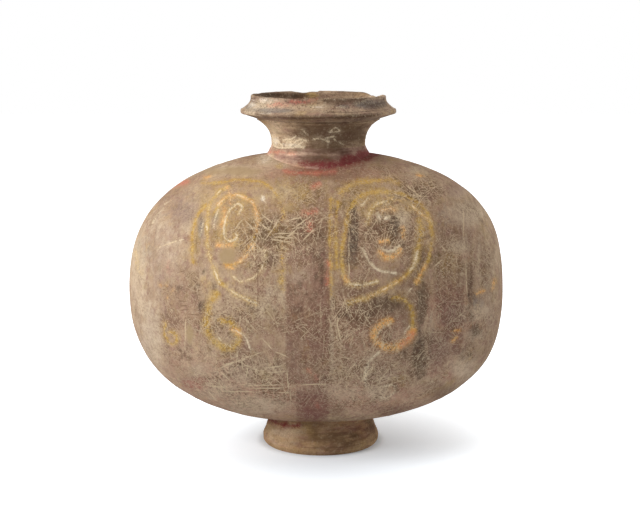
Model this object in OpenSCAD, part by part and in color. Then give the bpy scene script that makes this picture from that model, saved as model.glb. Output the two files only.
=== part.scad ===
// Cocoon jar: a horizontal egg-shaped earthenware body, thrown in two halves on its long axis, with a
// flared neck, a flanged mouth rim and a splayed foot ring luted on. Millimetres, +Z up, X along the
// body. The origin is on the table, under the middle of the body.

/* [Body] */
// Length of the left thrown half, from the seam to its end
left_len = 166; // [140:1:190]
// Length of the right thrown half, from the seam to its end
right_len = 154; // [130:1:180]
// Radius of the body at the seam
body_r = 118; // [105:1:135]
// Thickness of the body's wall
wall = 7; // [5:0.5:10]
// Roundness of the left half along its length, where 2 is an ellipse
left_round_power = 2.27; // [2:0.01:3]
// Fullness of the left half's end, where 2 is an ellipse
left_full_power = 2.61; // [2:0.01:3.4]
// Roundness of the right half along its length, where 2 is an ellipse
right_round_power = 2.03; // [2:0.01:3]
// Fullness of the right half's end, where 2 is an ellipse
right_full_power = 2.94; // [2:0.01:3.4]

/* [Neck] */
// Distance of the neck's axis from the middle of the body
neck_x = 2; // [-10:0.5:10]
// Radius of the neck at its waist
neck_r = 40; // [34:0.5:44]
// Thickness of the neck's wall
neck_wall = 7; // [5:0.5:9]
// Height of the waist above the body's crown
waist_h = 6.5; // [5:0.5:10]
// Height of the neck's top above the body's crown
neck_h = 26.5; // [23:0.5:34]
// Radius of the neck at its top
neck_top_r = 52.5; // [48:0.5:56]
// Height of the clay coil above the body's crown
coil_h = 5; // [3:0.5:6.5]
// Width of the clay coil where it is smoothed over the body's front
coil_w = 11; // [8:0.5:14]

/* [Mouth rim] */
// Radius of the rim's flange
rim_r = 66.5; // [63:0.5:72]
// Height of the flange's edge above the neck
flange_h = 6; // [5:0.5:8]
// Thickness of the flange's edge
flange_t = 4; // [3:0.5:5]
// Outer radius of the lip
lip_r = 57.5; // [56.5:0.5:60]
// Thickness of the lip
lip_t = 4; // [3:0.5:5]
// Height of the lip above the neck
lip_h = 20; // [18.5:0.5:26]

/* [Foot] */
// Distance of the foot's axis from the middle of the body
foot_x = 4; // [-10:0.5:10]
// Height of the body's underside above the table
foot_h = 20; // [16:0.5:30]
// Radius of the foot where it is widest
foot_r = 51; // [47:0.5:58]
// Height at which the foot is widest
foot_edge_h = 4; // [3:0.5:6]
// Radius of the foot's outer edge on the table
foot_rest_r = 49; // [46:0.5:51]
// Width of the ring that stands on the table
foot_rest_w = 9; // [6:0.5:12]
// Radius of the foot at the height of the body's underside
foot_top_r = 46; // [43:0.5:49]
// Thickness of the foot's wall
foot_wall = 9; // [6:0.5:12]

/* [Seams] */
// Thickness of the slip in the luted seams
slip_t = 1; // [0.5:0.1:1.5]

/* [Hidden] */

$fn = 256;
profile_steps = 36;  // straight stretches in each half's outline
arc_steps = 12;      // straight stretches in each arc of the rim, neck and foot
coil_bite = 1;       // depth that the coil reaches into the body's front before it is trimmed
nose_start = -75;    // angles at which the round edge of the flange begins and ends
nose_end = 60;

clay = [0.66, 0.56, 0.45];
dark_clay = [0.55, 0.43, 0.31];
slip_clay = [0.60, 0.50, 0.40];
red_clay = [0.53, 0.25, 0.22];

seam_x = (left_len - right_len) / 2;
axis_h = foot_h + body_r;
crown_h = axis_h + body_r;
buried_r = body_r / 2;  // necks and feet are drawn this far down into the body, then trimmed

bore_r = neck_r - neck_wall;
flare_h = neck_h - waist_h;
flare_out = neck_top_r - neck_r;
flare_r = (flare_h * flare_h + flare_out * flare_out) / (2 * flare_out);
flare_angle = asin(flare_h / flare_r);
mouth_in_r = neck_r + flare_r - sqrt(pow(flare_r + neck_wall, 2) - flare_h * flare_h);
rim_z = crown_h + neck_h + slip_t;

// Points of an arc about [cx, cy] from angle a to angle b
function arc(cx, cy, r, a, b, steps = arc_steps) = [
    for (i = [0:steps])
        let (t = a + (b - a) * i / steps)
            [cx + r * cos(t), cy + r * sin(t)]
];

// Points of a curve from p to r that bends towards q
function bend(p, q, r, steps = arc_steps) = [
    for (i = [0:steps])
        let (t = i / steps)
            (1 - t) * (1 - t) * p + 2 * t * (1 - t) * q + t * t * r
];

// Outline of one half as [radius, distance from the seam], from the seam at distance cut to the end
function half_outline(len, r, round_by, full_by, cut = 0) =
    let (start = asin(pow(cut / len, round_by / 2)))
        [
            for (i = [0:profile_steps])
                let (t = start + (90 - start) * i / profile_steps)
                    [r * pow(cos(t), 2 / full_by), len * pow(sin(t), 2 / round_by)]
        ];

function reversed(points) = [for (i = [len(points) - 1:-1:0]) points[i]];
function flipped(points) = [for (p = points) [p[0], -p[1]]];

// Turns a [radius, distance] outline about the body's long axis
module turned_on_body_axis() {
    translate([seam_x, 0, axis_h]) rotate([0, 90, 0]) rotate_extrude() children();
}

// The body's outer form, grown by the given thickness
module body_form(grow = 0) {
    left = half_outline(left_len + grow, body_r + grow, left_round_power, left_full_power);
    right = half_outline(right_len + grow, body_r + grow, right_round_power, right_full_power);
    turned_on_body_axis() polygon(concat(reversed(flipped(left)), right));
}

// One thrown half as a shell: outer outline, then the inner one back to the seam
function half_shell(len, round_by, full_by) = concat(
    half_outline(len, body_r, round_by, full_by, slip_t / 2),
    reversed(half_outline(len - wall, body_r - wall, round_by, full_by, slip_t / 2))
);

// The round hole that is cut through the top of the body for the neck
module neck_hole() {
    translate([neck_x, 0, axis_h]) cylinder(r = bore_r, h = body_r * 2);
}

// The neck before its foot is trimmed to the body
module neck_blank() {
    waist_z = crown_h + waist_h;
    translate([neck_x, 0, 0]) rotate_extrude() polygon(concat(
        [[bore_r, axis_h + buried_r], [neck_r, axis_h + buried_r]],
        arc(neck_r + flare_r, waist_z, flare_r, 180, 180 - flare_angle),
        reversed(arc(
            neck_r + flare_r, waist_z, flare_r + neck_wall,
            180, 180 - asin(flare_h / (flare_r + neck_wall))
        ))
    ));
}

// The foot before its top is trimmed to the body
module foot_blank() {
    top_z = axis_h - buried_r;
    lean = (foot_r - foot_top_r) / (foot_h - foot_edge_h);
    buried_out = foot_top_r - lean * (top_z - foot_h);
    rest_in = foot_rest_r - foot_rest_w;
    knee = [foot_r - lean * foot_edge_h * 2, foot_edge_h * 3];
    translate([foot_x, 0, 0]) rotate_extrude() polygon(concat(
        [[rest_in, 0]],
        bend([foot_rest_r, 0], [foot_r, foot_edge_h / 2], [foot_r, foot_edge_h]),
        bend([foot_r, foot_edge_h], [foot_r, foot_edge_h * 2], knee),
        [
            [foot_top_r, foot_h],
            [buried_out, top_z],
            [buried_out - foot_wall, top_z],
            [foot_top_r - foot_wall, foot_h]
        ]
    ));
}

module left_body_half() {
    color(clay) difference() {
        turned_on_body_axis() polygon(flipped(half_shell(left_len, left_round_power, left_full_power)));
        neck_hole();
    }
}

module right_body_half() {
    color(clay) difference() {
        turned_on_body_axis() polygon(half_shell(right_len, right_round_power, right_full_power));
        neck_hole();
    }
}

module body_seam_slip() {
    color(slip_clay) difference() {
        turned_on_body_axis() translate([body_r - wall, -slip_t / 2]) square([wall, slip_t]);
        neck_hole();
    }
}

module neck() {
    color(clay) difference() {
        neck_blank();
        body_form(slip_t);
    }
}

module neck_seam_slip() {
    color(slip_clay) difference() {
        intersection() {
            neck_blank();
            body_form(slip_t);
        }
        body_form();
    }
}

// The coil is a skirt round the neck, from coil_h above the crown down to the front of the body
module neck_luting_coil() {
    out_r = neck_r + coil_w;
    up = [neck_r, crown_h + coil_h];
    out = [out_r, axis_h + sqrt(body_r * body_r - out_r * out_r) - coil_bite];
    corner = [neck_r + coil_w / 4, crown_h - coil_h / 2];
    color(red_clay) difference() {
        translate([neck_x, 0, 0]) rotate_extrude() polygon(concat(
            [[neck_r, axis_h + buried_r], [out_r, axis_h + buried_r]],
            reversed(bend(up, corner, out))
        ));
        body_form();
    }
}

// Outline of the mouth rim as [radius, height above its underside]
function rim_outline() =
    let (
        nose_r = flange_t / 2,
        nose = [rim_r - nose_r, flange_h],
        nose_top = nose + nose_r * [cos(nose_end), sin(nose_end)],
        lip_c = [lip_r - lip_t / 2, lip_h - lip_t / 2],
        cove = [lip_r, flange_h + flange_t * 1.5],
        dish = [lip_r - lip_t * 2, flange_h]
    )
        concat(
            [[mouth_in_r, 0], [neck_top_r, 0]],
            arc(nose[0], nose[1], nose_r, nose_start, nose_end),
            bend(nose_top, cove, [lip_r, lip_c[1]]),
            arc(lip_c[0], lip_c[1], lip_t / 2, 0, 180),
            bend([lip_r - lip_t, lip_c[1]], dish, [mouth_in_r, 0])
        );

module mouth_rim() {
    color(clay) translate([neck_x, 0, rim_z]) rotate_extrude() polygon(rim_outline());
}

module rim_seam_slip() {
    color(slip_clay) translate([neck_x, 0, rim_z - slip_t]) rotate_extrude()
        translate([mouth_in_r, 0]) square([neck_top_r - mouth_in_r, slip_t]);
}

module foot_ring() {
    color(dark_clay) difference() {
        foot_blank();
        body_form(slip_t);
    }
}

module foot_seam_slip() {
    color(slip_clay) difference() {
        intersection() {
            foot_blank();
            body_form(slip_t);
        }
        body_form();
    }
}

left_body_half();
right_body_half();
body_seam_slip();
neck();
neck_seam_slip();
neck_luting_coil();
mouth_rim();
rim_seam_slip();
foot_ring();
foot_seam_slip();
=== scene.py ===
"""A painted earthenware cocoon jar: the looks of its solids, with a floor, soft light and a camera.

Lengths are millimetres until a mesh is made, in the frame of the solids: +Z up, X along the body and -Y
towards the viewer. Places of paint are pixels of a 640 by 512 picture that the scene's camera sees. The
unseen back repeats the front, turned half round the upright axis.
"""

import math
from types import SimpleNamespace

import bmesh
import bpy
import numpy as np
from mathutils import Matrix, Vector


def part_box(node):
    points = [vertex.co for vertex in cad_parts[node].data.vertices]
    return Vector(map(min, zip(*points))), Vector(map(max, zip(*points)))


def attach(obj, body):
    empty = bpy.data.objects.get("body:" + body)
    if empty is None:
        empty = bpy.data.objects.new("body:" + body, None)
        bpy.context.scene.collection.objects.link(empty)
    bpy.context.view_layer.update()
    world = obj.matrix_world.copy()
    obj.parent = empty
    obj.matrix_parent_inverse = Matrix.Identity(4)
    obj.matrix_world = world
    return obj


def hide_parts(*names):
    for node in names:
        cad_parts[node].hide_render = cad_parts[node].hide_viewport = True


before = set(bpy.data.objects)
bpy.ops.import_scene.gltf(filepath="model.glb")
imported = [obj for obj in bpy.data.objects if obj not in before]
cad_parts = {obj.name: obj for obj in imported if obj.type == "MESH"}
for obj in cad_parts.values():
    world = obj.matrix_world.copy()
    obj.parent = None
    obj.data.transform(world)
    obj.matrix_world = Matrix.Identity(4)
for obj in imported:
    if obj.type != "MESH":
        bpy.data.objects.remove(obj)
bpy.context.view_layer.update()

MM = 1000.0  # millimetres in a metre


def sides(node):
    """Lowest and highest corner of a solid, in millimetres"""
    low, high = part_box(node)
    return np.array(low) * MM, np.array(high) * MM


# Sizes read from the solids
seam_low, seam_high = sides("body_seam_slip")
neck_low, neck_high = sides("neck")
rim_low, rim_high = sides("mouth_rim")
foot_low, foot_high = sides("foot_ring")
seam_x = (seam_low[0] + seam_high[0]) / 2
slip_t = seam_high[0] - seam_low[0]
body_r = seam_high[1]
left_len = seam_x - sides("left_body_half")[0][0]
right_len = sides("right_body_half")[1][0] - seam_x
axis_h = sides("left_body_half")[0][2] + body_r
crown_h = axis_h + body_r
neck_x = (neck_low[0] + neck_high[0]) / 2
neck_top_r = (neck_high[0] - neck_low[0]) / 2
neck_top = neck_high[2]
rim_r = (rim_high[0] - rim_low[0]) / 2
rim_z = rim_low[2]
rim_top = rim_high[2]
foot_x = (foot_low[0] + foot_high[0]) / 2
foot_r = (foot_high[0] - foot_low[0]) / 2
foot_h = axis_h - body_r

# Sizes that the solids' boxes don't show
WALL = 7.0
LEFT_POWERS = (2.27, 2.61)  # roundness along the length and fullness of the end
RIGHT_POWERS = (2.03, 2.94)
NECK_R = 40.0
NECK_WALL = 7.0
WAIST_H = 6.5
COIL_H = 5.0
COIL_W = 11.0
FLANGE_H = 6.0
FLANGE_T = 4.0
LIP_R = 57.5
LIP_T = 4.0
FOOT_EDGE_H = 4.0
FOOT_REST_R = 49.0
FOOT_REST_W = 9.0
FOOT_TOP_R = 46.0
FOOT_WALL = 9.0

bore_r = NECK_R - NECK_WALL
waist_z = crown_h + WAIST_H
flare_h = neck_top - waist_z
flare_out = neck_top_r - NECK_R
flare_r = (flare_h**2 + flare_out**2) / (2 * flare_out)
mouth_in_r = NECK_R + flare_r - math.sqrt((flare_r + NECK_WALL) ** 2 - flare_h**2)

# Camera
PHOTO_W = 640
PHOTO_H = 512
FOCAL_PX = 1427.0
SENSOR_W = 36.0
CAMERA_AT = np.array([3.4, -1217.8, 372.9])
CAMERA_PITCH = 0.1699  # radians below the horizon


def make_camera():
    data = bpy.data.cameras.new("camera")
    data.sensor_width = SENSOR_W
    data.lens = FOCAL_PX * SENSOR_W / PHOTO_W
    data.clip_start = 0.05
    data.clip_end = 50
    camera = bpy.data.objects.new("camera", data)
    camera.location = CAMERA_AT / MM
    camera.rotation_euler = (math.pi / 2 - CAMERA_PITCH, 0, 0)
    bpy.context.scene.collection.objects.link(camera)
    bpy.context.scene.camera = camera


sink = math.sin(CAMERA_PITCH)
rise = math.cos(CAMERA_PITCH)
HALF_TURN = np.array([-1, -1, 1])


def photo_places(points):
    """Pixels where the camera sees the points"""
    offset = points - CAMERA_AT
    depth = offset[:, 1] * rise - offset[:, 2] * sink
    up = offset[:, 1] * sink + offset[:, 2] * rise
    across = PHOTO_W / 2 + FOCAL_PX * offset[:, 0] / depth
    down = PHOTO_H / 2 - FOCAL_PX * up / depth
    return np.column_stack([across, down])


# Curves and noise
def noise(points, cell, seed):
    """Smooth random values from -1 to 1 whose bumps are about one cell across"""
    place = points / cell + 31.7 * seed
    corner = np.floor(place).astype(np.int64)
    part = place - corner
    part = part * part * (3 - 2 * part)
    total = np.zeros(len(points))
    for step in np.ndindex(2, 2, 2):
        key = (corner + step) @ np.array([73856093, 19349663, 83492791])
        key = ((key ^ (key >> 13)) * 1274126177) & 0xFFFFFFFF
        value = (key ^ (key >> 16)) % 4096 / 2047.5 - 1
        total += value * np.prod(np.where(step, part, 1 - part), axis=1)
    return total


def smooth_step(value, low, high):
    share = np.clip((value - low) / (high - low), 0, 1)
    return share * share * (3 - 2 * share)


def line(start, end, count):
    """Points from start towards end, without the end itself"""
    share = np.arange(count)[:, None] / count
    return np.array(start) * (1 - share) + np.array(end) * share


def arc(centre, radius, first, last, count):
    """Points of an arc between two angles in degrees, without the last one"""
    angle = np.radians(first + (last - first) * np.arange(count) / count)
    return np.array(centre) + radius * np.column_stack([np.cos(angle), np.sin(angle)])


def bend(start, towards, end, count):
    """Points of a curve from start to end that bends towards a point, without the end itself"""
    t = np.arange(count)[:, None] / count
    return (1 - t) ** 2 * np.array(start) + 2 * t * (1 - t) * np.array(towards) + t**2 * np.array(end)


def smooth_path(points, step=0.7):
    """Close points on a smooth curve through the given ones"""
    p = np.array(points, float)
    p = np.vstack([2 * p[0] - p[1], p, 2 * p[-1] - p[-2]])
    found = [p[1:2]]
    for a, b, c, d in zip(p[:-3], p[1:-2], p[2:-1], p[3:]):
        count = max(2, math.ceil(np.linalg.norm(c - b) / step))
        t = (np.arange(count)[:, None] + 1) / count
        bow = (2 * a - 5 * b + 4 * c - d) * t**2 + (3 * b - a - 3 * c + d) * t**3
        found.append(0.5 * (2 * b + (c - a) * t + bow))
    return np.vstack(found)


# Body form
def body_radius(x, grow=0.0):
    """Radius of the body's outer form, grown by a thickness, at places along its axis"""
    along = np.asarray(x, float) - seam_x
    is_left = along < 0
    share = np.where(is_left, -along / (left_len + grow), along / (right_len + grow))
    round_power = np.where(is_left, LEFT_POWERS[0], RIGHT_POWERS[0])
    full_power = np.where(is_left, LEFT_POWERS[1], RIGHT_POWERS[1])
    return (body_r + grow) * (1 - np.clip(share, 0, 1) ** round_power) ** (1 / full_power)


def body_top(x, y, grow=0.0):
    return axis_h + np.sqrt(body_radius(x, grow) ** 2 - y**2)


def body_under(x, y, grow=0.0):
    return axis_h - np.sqrt(body_radius(x, grow) ** 2 - y**2)


FINE_STEPS = 4000  # close points along a half's outline, from which even ones are taken


def half_outline(length, radius, powers, rows):
    """Evenly spaced [radius, distance] points from the seam to just before the end of a half"""
    start = math.asin((slip_t / 2 / length) ** (powers[0] / 2))
    t = np.linspace(start, math.pi / 2, FINE_STEPS)
    fine = np.column_stack([radius * np.cos(t) ** (2 / powers[1]), length * np.sin(t) ** (2 / powers[0])])
    run = np.concatenate([[0], np.cumsum(np.linalg.norm(np.diff(fine, axis=0), axis=1))])
    at = np.arange(rows) / rows * run[-1]
    return np.column_stack([np.interp(at, run, fine[:, 0]), np.interp(at, run, fine[:, 1])])


BODY_SWELL = 0.55    # height of the broad hand-made unevenness
SWELL_SIZE = 60.0    # and how far apart its bumps are
BODY_RIPPLE = 0.22   # height of the small unevenness
RIPPLE_SIZE = 17.0
BODY_TURNING = 0.12  # height of the turning marks round the long axis
TURNING_SIZE = 4.5
TURNING_SQUEEZE = (1.0, 0.03, 0.03)
LUTED_R = 52.0       # round the neck and the foot the skin is even up to here
FREE_R = 75.0        # and fully uneven from here


def body_unevenness(points):
    """How far the hand-made surface stands out; none where the neck and the foot are luted on"""
    from_neck = np.hypot(points[:, 0] - neck_x, points[:, 1])
    from_foot = np.hypot(points[:, 0] - foot_x, points[:, 1])
    upper = points[:, 2] > axis_h
    free = smooth_step(np.where(upper, from_neck, from_foot), LUTED_R, FREE_R)
    turning = noise(points * TURNING_SQUEEZE, TURNING_SIZE, 3)
    swell = BODY_SWELL * noise(points, SWELL_SIZE, 1) + BODY_RIPPLE * noise(points, RIPPLE_SIZE, 2)
    return free * (swell + BODY_TURNING * turning)


# Meshes
def loop_faces(turns, count):
    """Quads of a grid that closes both ways: sections of count points, one for each turn"""
    i = np.arange(turns)[:, None]
    j = np.arange(count)[None]
    next_i = (i + 1) % turns
    next_j = (j + 1) % count
    corners = [i * count + j, i * count + next_j, next_i * count + next_j, next_i * count + j]
    return np.stack(corners, axis=-1).reshape(-1, 4).tolist()


def capsule_faces(rings, columns):
    """Faces of a closed skin made of a first point, rings of points and a last point"""
    j = np.arange(columns)
    k = (j + 1) % columns
    first = [[0, 1 + b, 1 + a] for a, b in zip(j, k)]
    base = 1 + (rings - 1) * columns
    last = [[1 + rings * columns, base + a, base + b] for a, b in zip(j, k)]
    start = 1 + np.arange(rings - 1)[:, None] * columns
    quads = np.stack([start + j, start + k, start + columns + k, start + columns + j], axis=-1)
    return first + quads.reshape(-1, 4).tolist() + last


def make_object(name, points, faces):
    mesh = bpy.data.meshes.new(name)
    mesh.from_pydata((points / MM).tolist(), [], faces)
    shape = bmesh.new()
    shape.from_mesh(mesh)
    bmesh.ops.recalc_face_normals(shape, faces=shape.faces)
    shape.to_mesh(mesh)
    shape.free()
    thing = bpy.data.objects.new(name, mesh)
    bpy.context.scene.collection.objects.link(thing)
    return thing


def vertex_vectors(thing, kind):
    """One vector for each of the object's points, "co" for their places in metres or "normal\""""
    vectors = np.empty(len(thing.data.vertices) * 3, np.float32)
    thing.data.vertices.foreach_get(kind, vectors)
    return vectors.reshape(-1, 3).astype(float)


def turn_angles(turns):
    return np.linspace(0, 2 * math.pi, turns, endpoint=False)


def upright_ring(name, centre_x, radius, height):
    """An object from radius and height grids of shape (turns, count), turned about an upright axis"""
    turns, count = radius.shape
    angle = turn_angles(turns)[:, None]
    points = np.stack([centre_x + radius * np.cos(angle), radius * np.sin(angle), height], axis=-1)
    return make_object(name, points.reshape(-1, 3), loop_faces(turns, count))


def ring_noise(angles, rows, radius, cell, seed):
    """Noise over a grid of angles and row heights, on a ring of the given radius"""
    grid = np.stack(np.broadcast_arrays(
        radius * np.cos(angles)[:, None], radius * np.sin(angles)[:, None], rows[None]
    ), axis=-1)
    return noise(grid.reshape(-1, 3), cell, seed).reshape(len(angles), len(rows))


# Paint, as paths in picture pixels
LEFT_OUTER = [(193, 262), (192, 244), (193, 230), (197, 217), (205, 206)]
LEFT_TOP = [
    (204, 184), (213, 183), (222, 182), (234, 180), (247, 180), (260, 182), (270, 187), (278, 197),
    (282, 207), (283, 216), (278, 226), (271, 233),
]
LEFT_SECOND = [
    (226, 188), (219, 192), (212, 200), (209, 208), (207, 220), (207, 233), (208, 246), (210, 257),
    (214, 269), (219, 281), (227, 288), (238, 295), (248, 300), (256, 303),
]
LEFT_SECOND_TOP = LEFT_SECOND[:7]
LEFT_SECOND_SIDE = LEFT_SECOND[6:10]
LEFT_TAIL = LEFT_SECOND[10:]
LEFT_THIRD = [
    (214, 213), (219, 204), (226, 198), (235, 195), (244, 197), (252, 202), (256, 210), (258, 221),
    (256, 232), (252, 246), (247, 254), (240, 261), (232, 265), (226, 264),
]
LEFT_THIRD_TOP = LEFT_THIRD[1:6]
LEFT_THIRD_SIDE = LEFT_THIRD[5:9]
LEFT_THIRD_LOW = LEFT_THIRD[9:12]
LEFT_THIRD_END = LEFT_THIRD[11:]
LEFT_TOP_START = LEFT_TOP[:8]
LEFT_TOP_END = LEFT_TOP[7:]
LEFT_DROP = [(227, 187), (230, 195), (230, 204)]
LEFT_CORE = [
    (240, 212), (242, 207), (238, 204), (232, 207), (228, 213), (225, 221), (224, 229), (225, 237),
    (229, 241), (234, 240), (237, 237), (236, 234),
]
LEFT_CORE_SIDE = [(225, 210), (224, 218), (221, 226)]
LEFT_CORE_UNDER = [(219, 245), (225, 246), (231, 245)]
LEFT_HOOK = [(234, 277), (239, 281), (247, 280), (255, 276), (261, 269), (264, 260), (265, 252)]
LEFT_BORDER = [(282, 251), (282, 266), (281, 279), (282, 289)]
LEFT_STREAKS = [
    [(200, 236), (202, 228), (203, 221)], [(214, 226), (215, 219), (217, 213)],
    [(262, 197), (265, 202)],
]
LOWER_LEFT_CURL = [
    (216, 295), (210, 304), (207, 315), (206, 326), (210, 336), (218, 344), (230, 348), (238, 342),
    (238, 334), (231, 323), (223, 321),
]
LOWER_LEFT_TIP = [(233, 330), (237, 331), (240, 335)]
LOWER_LEFT_TAIL = [(240, 333), (246, 338), (249, 346), (251, 353)]
LOWER_LEFT_SHINE = [(219, 338), (224, 343), (231, 346)]
FAR_LEFT_MARKS = [[(160, 285), (167, 286)], [(167, 298), (171, 294), (173, 290)]]
FAR_LEFT_CURL = [(166, 323), (164, 332), (168, 341), (174, 344), (177, 339), (174, 333), (169, 332)]
FAR_LEFT_EDGE = [(136, 252), (137, 262), (139, 272)]
RIGHT_OUTER = [(340, 193), (351, 185), (363, 182), (377, 180), (390, 180), (398, 182)]
RIGHT_SECOND = [
    (344, 277), (342, 264), (342, 250), (344, 237), (346, 225), (348, 214), (352, 206), (357, 199),
    (366, 194), (377, 192), (388, 192), (398, 193), (406, 196), (416, 202), (424, 208), (429, 217),
    (431, 226), (432, 237), (431, 246), (429, 257), (425, 266), (420, 276), (417, 281),
]
RIGHT_SECOND_END = RIGHT_SECOND[-3:]
RIGHT_BORDER = [(331, 200), (330, 225), (330, 250), (331, 275), (331, 300)]
RIGHT_FIRST = [(338, 202), (336, 222), (336, 245), (337, 268)]
RIGHT_CORNER = [(344, 277), (350, 284), (361, 285), (375, 282)]
RIGHT_CORNER_FOOT = RIGHT_CORNER[1:]
RIGHT_CORNER_TURN = [(345, 277), (347, 281)]
RIGHT_INNER = [
    (420, 222), (420, 231), (419, 241), (417, 252), (415, 261), (411, 270), (404, 277), (395, 283),
    (382, 290), (369, 297), (358, 300), (349, 303),
]
RIGHT_INNER_SIDE = RIGHT_INNER[3:6]
RIGHT_INNER_TOP = RIGHT_INNER[:5]
RIGHT_SHOULDER = [(392, 199), (402, 201), (411, 205), (418, 211), (426, 217), (431, 220)]
RIGHT_TAIL = RIGHT_INNER[6:]
RIGHT_TAIL_START = RIGHT_INNER[6:10]
RIGHT_FLECK = [(408, 293), (411, 289)]
RIGHT_ARC = [(364, 251), (367, 258), (373, 266), (381, 271), (393, 273)]
RIGHT_RING = [(367, 222), (369, 214), (374, 206), (380, 203), (386, 201)]
RIGHT_GLEAM = [(362, 205), (365, 201), (369, 198)]
EYE_DASH = [(381.5, 241.4), (386, 240.8)]
EYE_CRESCENT = [(385, 250), (389, 251.5), (394, 249.5), (398, 246.5)]
EYE_UNDER = [(381, 253), (384.5, 256), (389, 256.8), (395, 255.5), (398.5, 251.5)]
EYE_SIDE = [(403, 230), (404, 236)]
EYE_DOTS = [[(378.6, 216.4), (379.2, 217.6)], [(385.8, 218.4), (386.8, 217.8)]]
EYE_TOP = [(382, 210.5), (386, 209), (391, 208.5), (395, 211), (398.5, 215), (402, 219)]
EYE_TOP_START = EYE_TOP[:4]
LOWER_RIGHT_START = [
    (393, 297.5), (399, 297.5), (405, 301), (410, 306), (412.5, 313), (413, 320), (413, 328),
]
LOWER_RIGHT_CURL = [
    (412, 332), (409, 338), (403, 343), (396, 346.5), (389, 347.5), (381, 345.5), (375.5, 340),
    (374, 334), (377, 328), (383, 323.5), (389, 321),
]
LOWER_RIGHT_SHINE = [(388.5, 325), (383, 328), (379, 332.5), (377.5, 337.5)]
LOWER_RIGHT_GLINTS = [[(404.5, 331.5), (408, 328)], [(400.5, 338.5), (406, 336.5)]]
LOWER_RIGHT_RED = [(411, 335), (407, 340), (402, 344)]
LOWER_RIGHT_TAIL = [(378, 353), (371, 359), (367, 367), (365, 376), (366, 384)]
LOWEST_CURL = [(386, 386), (393, 385), (395, 391), (388, 397), (379, 398)]
ORANGE_SPOTS = [
    [(418, 175), (421, 176)], [(454, 331), (460, 330)], [(453, 341), (456, 338)],
    [(494, 281), (493, 288)], [(478, 293), (483, 291)], [(206, 177), (210, 176)],
    [(229, 267), (232, 268)],
]
RED_SPOTS = [
    [(313, 186), (318, 184)], [(304, 214), (315, 212)], [(309, 222), (310, 229)],
    [(173, 185), (186, 182)],
]
BAND_SPOTS = [[(309, 371), (311, 373)], [(315, 375), (317, 379)], [(317, 403), (318, 406)]]
RED_EDGE = [(328, 262), (328, 272), (327, 284)]
BASE_RED_RIGHT = [(343, 163), (352, 160.5), (362, 157.5), (375, 152)]
BASE_RED_MIDDLE = [(322, 165.5), (334, 165), (350, 161.5)]
BASE_RED_START = [(302, 163.5), (314, 165), (328, 165.5)]
BASE_RED_LEFT = [(268, 152), (280, 152), (294, 154)]
BASE_RED_FRONT = [(286, 171), (298, 172.5), (314, 173), (334, 170.5)]
BASE_PALE = [(260, 162), (272, 164), (285, 166)]
RIM_RED = [(272, 104), (285, 103), (300, 102), (316, 100)]
RIM_SALMON = [(269, 106), (278, 106), (287, 105)]
# Painted highlight along the top edge of the front lip
LIP_EDGE_HIGHLIGHT = [(322, 99), (345, 99), (365, 97), (381, 96)]
# Painted shadow in the groove under the front lip
LIP_GROOVE_SHADOW = [(326, 101), (340, 101.5), (352, 100.5), (363, 98.5)]
RIM_FLAKE = [(338, 107), (346, 106), (352, 104), (358, 103), (366, 101)]
# Painted shadow under the flange's edge, drawn as a dark line
FLANGE_SHADOW_LINE = [
    (258, 114.5), (270, 116.2), (285, 117.4), (305, 118.2), (325, 118.4), (345, 118), (362, 117),
    (378, 115),
]
NECK_WHITE = [
    [(272.5, 137), (273.5, 142), (275.5, 146.5), (282, 148), (289, 147.5)],
    [(277, 141), (280, 143), (282.5, 146)], [(286, 139.5), (291, 139), (293, 138)],
    [(286.5, 142), (287.5, 146), (291, 147)], [(290.5, 142.5), (292.5, 145), (296.5, 141), (299, 140)],
    [(295, 147), (301, 147)], [(298, 144.5), (302, 142.5)], [(300, 139), (304, 140)],
]
NECK_UNDERLINE = [(274, 147.5), (280, 149), (287, 149.5)]
WHITE_SCRAPE = [(160, 247), (170, 243), (181, 240)]
LEFT_FLECKS = [[(153, 222), (157, 215), (162, 210)], [(166, 203), (173, 199)], [(180, 258), (184, 261)]]
NECK_FLECKS = [
    [(313.5, 139), (315, 139.5)], [(317, 138.5), (318.5, 138.5)], [(321.5, 139), (326.5, 141)],
    [(326.5, 138), (333, 136.5)], [(335, 140), (341.5, 143.5)],
    [(331, 131), (335.5, 127.5), (339.5, 131), (332, 132)], [(303.5, 131), (306.5, 134)],
]
FOOT_RED = [(271, 420.5), (280, 424), (289, 425.5), (297, 425.5)]
# Painted shadow of the body on the foot's top
FOOT_SHADE = [(300, 424), (325, 426), (350, 425), (372, 421)]

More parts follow.
